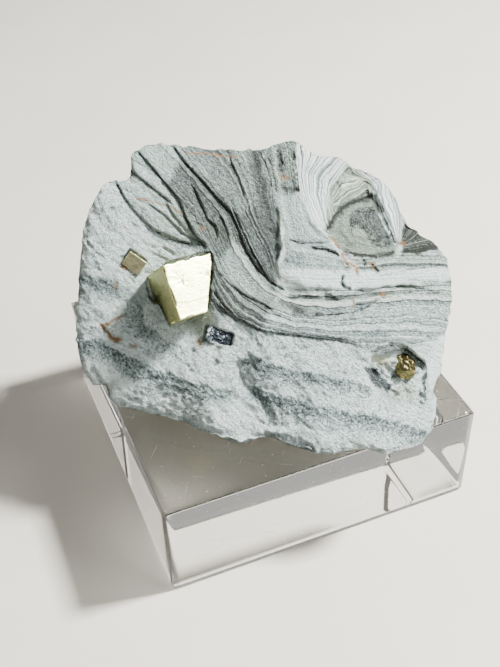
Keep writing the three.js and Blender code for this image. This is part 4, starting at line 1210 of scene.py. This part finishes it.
def box_grid(edge, cells, rounding):
    """A rounded box as one closed skin of six grids. Each point is drawn in to a smaller box, then set out
    from it by the rounding. Gives the points, the outward direction of the flat side each grid point came
    from and the four-cornered faces; points that meet at the box's edges are one point."""
    half = np.array(edge) / 2
    u, v = square_grid(cells)
    sides, faces = [], []
    for axis in range(3):
        for sign in (-1, 1):
            side = np.zeros((len(u), 3))
            side[:, axis] = sign
            side[:, (axis + 1) % 3] = u * sign
            side[:, (axis + 2) % 3] = v
            faces.append(sheet_faces(cells, len(sides) * len(u), False))
            sides.append(side)
    cube = np.concatenate(sides)
    keys = np.round(cube * cells * 2).astype(int)
    _, first, same = np.unique(keys, axis=0, return_index=True, return_inverse=True)
    cube, faces = cube[first], same.ravel()[np.concatenate(faces)]
    points = cube * half
    inner = np.clip(points, -(half - rounding), half - rounding)
    away = points - inner
    length = np.maximum(np.linalg.norm(away, axis=1), 1e-9)[:, None]
    return inner + away / length * rounding, cube, faces


def crystal_grid(crystal):
    return box_grid(crystal["edge"], crystal["cells"], crystal["rounding"])


def in_face_frame(points, crystal):
    """Points round a crystal's own middle, turned and moved to its place in the face's frame."""
    return points @ turn_matrix(crystal["turn"]).T + np.array(crystal["at"])


def pyrite_material(name, colour, roughness, pitting, pit_colour=(0.2, 0.19, 0.1)):
    """Metallic crystal faces: fine growth lines, small pits and darker, rougher patches, and a painted dark
    reflection where a piece sets one.
    """
    material, nodes, shader = new_material(name)
    place = nodes.position()
    lines = nodes.noise(nodes.position(stretch=(0.25, 1.6, 3.4)), 1.0, 3, 0.6)
    specks = grain(nodes, place, 0.55, 2.4)
    dark = nodes.times(nodes.band(nodes.noise(place, 1.3, 2, 0.6), 0.62, 0.72), pitting, clamp=True)
    tint = nodes.ramp(specks, [(0.3, tinted(colour, 0.85, 0.85, 0.85)), (0.62, colour)])
    # Painted reflection: the colour turns dark olive where this attribute is set, standing for the dark rock
    # that the face mirrors
    tarnish = nodes.times(nodes.attribute("tarnish"), nodes.band(specks, 0.0, 0.5, 0.8, 1.0))
    tint = nodes.mix(tarnish, tint, rgba(tinted(colour, 0.3, 0.3, 0.2)))
    patches = nodes.plus(nodes.times(specks, 0.22), dark, 0.3)
    height = nodes.math("SUBTRACT", nodes.plus(lines, specks, 0.5), dark)
    nodes.feed(shader, {
        "Base Color": nodes.mix(dark, tint, rgba(pit_colour)), "Metallic": 1.0,
        "Roughness": nodes.math("ADD", patches, roughness - 0.1, clamp=True),
        "Normal": bump(nodes, height, 0.35, 0.12),
    })
    return material


def crust_material(props):
    """Blue-black crust with pale grains, metallic in its dark parts."""
    material, nodes, shader = new_material("Dark crust")
    specks = grain(nodes, nodes.position(), 0.9, 2.6)
    share = nodes.plus(specks, nodes.attribute("pale"), 0.2)
    colour = nodes.ramp(share, [
        (0.58, props.crust_colour), (0.7, (0.05, 0.07, 0.09)), (0.78, (0.36, 0.41, 0.43)),
        (0.95, (0.78, 0.81, 0.81)),
    ])
    nodes.feed(shader, {
        "Base Color": colour, "Metallic": nodes.band(share, 0.5, 0.62, 0.8, 0.0), "Roughness": 0.42,
        "Normal": bump(nodes, specks, 0.9, 0.35),
    })
    return material


def build_large_cube(props):
    """The cube: a box with barely rounded edges, drawn in by shallow steps where a stretched noise is high,
    by pits where a fine noise is high, and by chips along its edges, deepest on the left side. What lies
    beyond the cut is set back onto its plane."""
    points, side, faces = crystal_grid(LARGE_CUBE)
    normal = side / np.maximum(np.linalg.norm(side, axis=1), 1e-9)[:, None]
    flat = np.sort(np.abs(side), axis=1)[:, 1]
    steps = STEP_HEIGHT * (noise(points * [0.25, 1.0, 1.6], 2.2, 5) > 0.25)
    steps = (steps + DRIFT_HEIGHT * noise(points, 1.8, 8)) * (1 - 0.8 * (side[:, 0] < -0.97))
    pits = PIT_DEPTH * smooth((noise(points, 0.7, 12) - 0.62) / 0.2)
    chipped = smooth((flat - 0.93) / 0.07) * smooth(noise(points, 1.6, 17) * 2.4 - 0.1)
    chipped *= CHIP_DEPTH + LEFT_CHIP_DEPTH * (side[:, 0] < -0.9)
    points = in_face_frame(points - normal * (steps + pits + chipped)[:, None], LARGE_CUBE)
    beyond = np.maximum((points - CUBE_CUT_AT) @ CUBE_CUT_FACING, 0)
    points = to_row_frame(points - beyond[:, None] * CUBE_CUT_FACING)
    material = pyrite_material("Bright pyrite", props.pyrite_colour, 0.3, 0.55)
    cube = new_piece("cube_large", points, faces, "large_cube", material)
    # Painted reflection: the cube's left face is darkened for the dark rock that it mirrors
    paint(cube, "tarnish", smooth((-side[:, 0] - 0.97) / 0.02) * 0.6)


def build_small_crystals(props):
    """The small crystal, nearly flush with the rock, and the crusted one below the large cube, whose left
    and lower edges carry a pale rim: boxes drawn in by a little summed noise, the crusted one less where
    chipped noise is high."""
    points, side, faces = crystal_grid(SMALL_CUBE)
    points = points - side * (0.05 + 0.07 * rough(points, 0.9, 3))[:, None]
    points = to_row_frame(in_face_frame(points, SMALL_CUBE))
    material = pyrite_material("Olive pyrite", props.dull_pyrite_colour, 0.42, 0.5)
    new_piece("cube_small", points, faces, "small_cube", material)

    points, side, faces = crystal_grid(CRUSTED_CUBE)
    points = points - side * (0.16 + 0.16 * rough(points, 0.8, 6) - 0.12 * chips(points, 1.3, 9))[:, None]
    points = to_row_frame(in_face_frame(points, CRUSTED_CUBE))
    crust = new_piece("cube_crusted", points, faces, "crusted_cube", crust_material(props))
    paint(crust, "pale", np.maximum(smooth((-side[:, 0] - 0.72) / 0.1), smooth((-side[:, 1] - 0.8) / 0.1)))


def build_broken_crystal(props):
    """The broken crystal: in each direction from its middle, the distance to the nearest of its planes,
    roughened by summed and chipped noise, then stretched along its lean."""
    _, side, faces = box_grid((2, 2, 2), BROKEN_CELLS, 0.001)
    direction = side / np.linalg.norm(side, axis=1)[:, None]
    normals = BROKEN_PLANES[:, :3] / np.linalg.norm(BROKEN_PLANES[:, :3], axis=1)[:, None]
    facing = direction @ normals.T
    reach = np.where(facing > 0.05, BROKEN_PLANES[:, 3] / np.maximum(facing, 0.05), np.inf).min(axis=1)
    points = direction * reach[:, None]
    points *= (0.98 - 0.06 * rough(points, 1.5, 14) - 0.05 * (1 - chips(points, 1.2, 19)))[:, None]
    lean = np.array(BROKEN_LEAN) / np.linalg.norm(BROKEN_LEAN)
    points += np.outer(points @ lean, lean) * BROKEN_STRETCH
    points = to_row_frame(points + np.array(BROKEN_CRYSTAL_AT))
    material = pyrite_material("Golden pyrite", props.golden_pyrite_colour, 0.2, 0.9, (0.05, 0.045, 0.02))
    new_piece("crystal_broken", points, faces, "broken_crystal", material)


# The block

def block_material(props):
    """Clear acrylic: plain transmission. Fine scratches on its top and dust only change its roughness."""
    material, nodes, shader = new_material("Clear acrylic")
    place = nodes.position()
    scratches = nodes.math("MAXIMUM", *(
        nodes.noise(nodes.position(turn=(0, 0, turn), stretch=(along, across, 0.6)), 1.0, 1, 0.6)
        for turn, along, across in ((0.5, 0.06, 3.2), (-0.9, 0.1, 3.6))))
    height = nodes.add("ShaderNodeSeparateXYZ", {0: place}).outputs[2]
    on_top = nodes.band(height, BLOCK_TOP - 0.3, BLOCK_TOP - 0.1)
    worn = nodes.times(nodes.times(nodes.band(scratches, 0.72, 0.8), SCRATCH_WEAR), on_top)
    worn = nodes.plus(worn, nodes.band(nodes.noise(place, 1.9, 1), 0.75, 0.79), DUST_WEAR)
    nodes.feed(shader, {
        "Base Color": rgba(props.acrylic_colour), "Transmission Weight": 1.0, "IOR": ACRYLIC_IOR,
        "Roughness": nodes.math("ADD", worn, POLISH, clamp=True),
    })
    return material


def build_block(props):
    """The block: a box with rounded edges, standing on the ground plane."""
    points, _, faces = box_grid(BLOCK_HIGH - BLOCK_LOW, BLOCK_CELLS, props.edge_radius / MM)
    points = points + (BLOCK_HIGH + BLOCK_LOW) / 2
    new_piece("acrylic_block", points, faces, "display_block", block_material(props))


# The studio

def add_floor(props):
    """A plain pale square, hardly mottled."""
    material, nodes, shader = new_material("Pale table")
    mottle = nodes.noise(nodes.position(scale=30.0), 1.0, 3)
    tint = props.floor_colour
    colour = nodes.ramp(mottle, [(0.3, tinted(tint, 0.95, 0.95, 0.95)), (0.7, tint)])
    nodes.feed(shader, {"Base Color": colour, "Roughness": 0.7})
    corners = np.array([[-1, -1, 0], [1, -1, 0], [1, 1, 0], [-1, 1, 0]]) * FLOOR_HALF - [0, 0, FLOOR_DROP]
    floor = new_piece("floor", corners, [[0, 1, 2, 3]], None, material, False)


def add_sky(props):
    """The same soft light from all round."""
    world = bpy.data.worlds.new("Soft sky")
    world.use_nodes = True
    background = world.node_tree.nodes["Background"]
    background.inputs[0].default_value = rgba(props.sky_colour)
    background.inputs[1].default_value = props.sky_strength
    bpy.context.scene.world = world


def add_panel(name, at, side, power):
    """A square panel of light that faces the specimen."""
    data = bpy.data.lights.new(name, "AREA")
    data.shape = "RECTANGLE"
    data.size = data.size_y = side
    data.energy = power
    light = in_scene(name, data)
    light.location = at
    light.rotation_euler = (LIGHT_TARGET - Vector(at)).to_track_quat("-Z", "Y").to_euler()


def add_camera():
    data = bpy.data.cameras.new("Camera")
    data.lens = CAMERA_LENS
    data.sensor_width = SENSOR_WIDTH
    data.clip_start = CLIP_START
    camera = in_scene("Camera", data)
    turn = Matrix((CAMERA_RIGHT, -CAMERA_DOWN, -CAMERA_FORWARD)).transposed()
    camera.matrix_world = Matrix.Translation(CAMERA_AT) @ turn.to_4x4()
    bpy.context.scene.camera = camera


def build_stage(props):
    add_floor(props)
    add_sky(props)
    for name, at, side, setting in PANELS:
        add_panel(name, at, side, getattr(props, setting))
    add_camera()


# Settings, operators and panel

def colour_setting(name, description, default):
    return bpy.props.FloatVectorProperty(name=name, description=description, default=default,
                                         subtype="COLOR", size=3, min=0, max=1)


def power_setting(name, description, default):
    return bpy.props.FloatProperty(name=name, description=description, default=default, min=0, max=200,
                                   subtype="POWER")


class RockSettings(bpy.types.PropertyGroup):
    face_cells: bpy.props.IntProperty(name="Face cells", description="Grid cells along each side of the face",
                                      default=250, min=40, max=260, step=2)
    warm_tint: colour_setting("Warm tint", "Tint of the warmer layers", (1.0, 0.93, 0.74))
    rust_colour: colour_setting("Rust", "Colour of the rust along the cracks", (0.34, 0.17, 0.06))


class PyriteSettings(bpy.types.PropertyGroup):
    pyrite_colour: colour_setting("Bright pyrite", "Colour of the large cube", (0.78, 0.77, 0.38))
    dull_pyrite_colour: colour_setting("Olive pyrite", "Colour of the small crystal", (0.36, 0.345, 0.2))
    golden_pyrite_colour: colour_setting("Golden pyrite", "Colour of the broken crystal", (0.19, 0.165, 0.07))
    crust_colour: colour_setting("Crust", "Colour of the dark crust", (0.012, 0.018, 0.024))


class BlockSettings(bpy.types.PropertyGroup):
    edge_radius: bpy.props.FloatProperty(name="Edge radius", description="Rounding of the block's edges",
                                         default=0.0004, min=0.0001, max=0.003, unit="LENGTH")
    acrylic_colour: colour_setting("Acrylic", "Tint of the clear block", (0.93, 0.93, 0.91))


class StageSettings(bpy.types.PropertyGroup):
    floor_colour: colour_setting("Floor", "Colour of the floor", (0.44, 0.41, 0.35))
    sky_colour: colour_setting("Sky", "Colour of the soft light from all round", (0.97, 0.99, 1.0))
    sky_strength: bpy.props.FloatProperty(name="Sky strength", description="Strength of the soft light",
                                          default=0.38, min=0, max=5)
    key_power: power_setting("Key power", "Power of the small panel at the upper right", 28.0)
    front_power: power_setting("Front power", "Power of the panel in front", 3.4)
    left_power: power_setting("Left power", "Power of the panel at the left", 1.0)


class SPECIMEN_OT_rock(bpy.types.Operator):
    """Build the banded rock with its folded face"""
    bl_idname = "specimen.rock"
    bl_label = "Banded rock"

    def execute(self, context):
        build_rock(context.scene.specimen_rock)
        return {"FINISHED"}


class SPECIMEN_OT_cubes(bpy.types.Operator):
    """Build the large cube, the small crystal and the crusted crystal"""
    bl_idname = "specimen.cubes"
    bl_label = "Pyrite cubes"

    def execute(self, context):
        build_large_cube(context.scene.specimen_pyrite)
        build_small_crystals(context.scene.specimen_pyrite)
        return {"FINISHED"}


class SPECIMEN_OT_broken_crystal(bpy.types.Operator):
    """Build the broken crystal in the pit"""
    bl_idname = "specimen.broken_crystal"
    bl_label = "Broken crystal"

    def execute(self, context):
        build_broken_crystal(context.scene.specimen_pyrite)
        return {"FINISHED"}


class SPECIMEN_OT_block(bpy.types.Operator):
    """Build the clear display block"""
    bl_idname = "specimen.block"
    bl_label = "Display block"

    def execute(self, context):
        build_block(context.scene.specimen_block)
        return {"FINISHED"}


class SPECIMEN_OT_stage(bpy.types.Operator):
    """Set up the floor, the light and the camera"""
    bl_idname = "specimen.stage"
    bl_label = "Studio"

    def execute(self, context):
        build_stage(context.scene.specimen_stage)
        return {"FINISHED"}


OPERATORS = (SPECIMEN_OT_rock, SPECIMEN_OT_cubes, SPECIMEN_OT_broken_crystal, SPECIMEN_OT_block,
             SPECIMEN_OT_stage)
SETTINGS = {"specimen_rock": RockSettings, "specimen_pyrite": PyriteSettings, "specimen_block": BlockSettings,
            "specimen_stage": StageSettings}


class SPECIMEN_PT_panel(bpy.types.Panel):
    """Lists the pieces of the specimen and their settings"""
    bl_idname = "SPECIMEN_PT_panel"
    bl_label = "Pyrite specimen"
    bl_space_type = "VIEW_3D"
    bl_region_type = "UI"
    bl_category = "Specimen"

    def draw(self, context):
        for operator in OPERATORS:
            self.layout.operator(operator.bl_idname)
        for name, settings in SETTINGS.items():
            column = self.layout.column(align=True)
            for prop in settings.__annotations__:
                column.prop(getattr(context.scene, name), prop)


def register():
    for name, settings in SETTINGS.items():
        bpy.utils.register_class(settings)
        setattr(bpy.types.Scene, name, bpy.props.PointerProperty(type=settings))
    for kind in (*OPERATORS, SPECIMEN_PT_panel):
        bpy.utils.register_class(kind)


def unregister():
    for kind in (SPECIMEN_PT_panel, *reversed(OPERATORS)):
        bpy.utils.unregister_class(kind)
    for name, settings in SETTINGS.items():
        delattr(bpy.types.Scene, name)
        bpy.utils.unregister_class(settings)


def main():
    register()
    bpy.ops.specimen.rock()
    bpy.ops.specimen.cubes()
    bpy.ops.specimen.broken_crystal()
    bpy.ops.specimen.block()
    bpy.ops.specimen.stage()


if __name__ == "__main__":
    main()
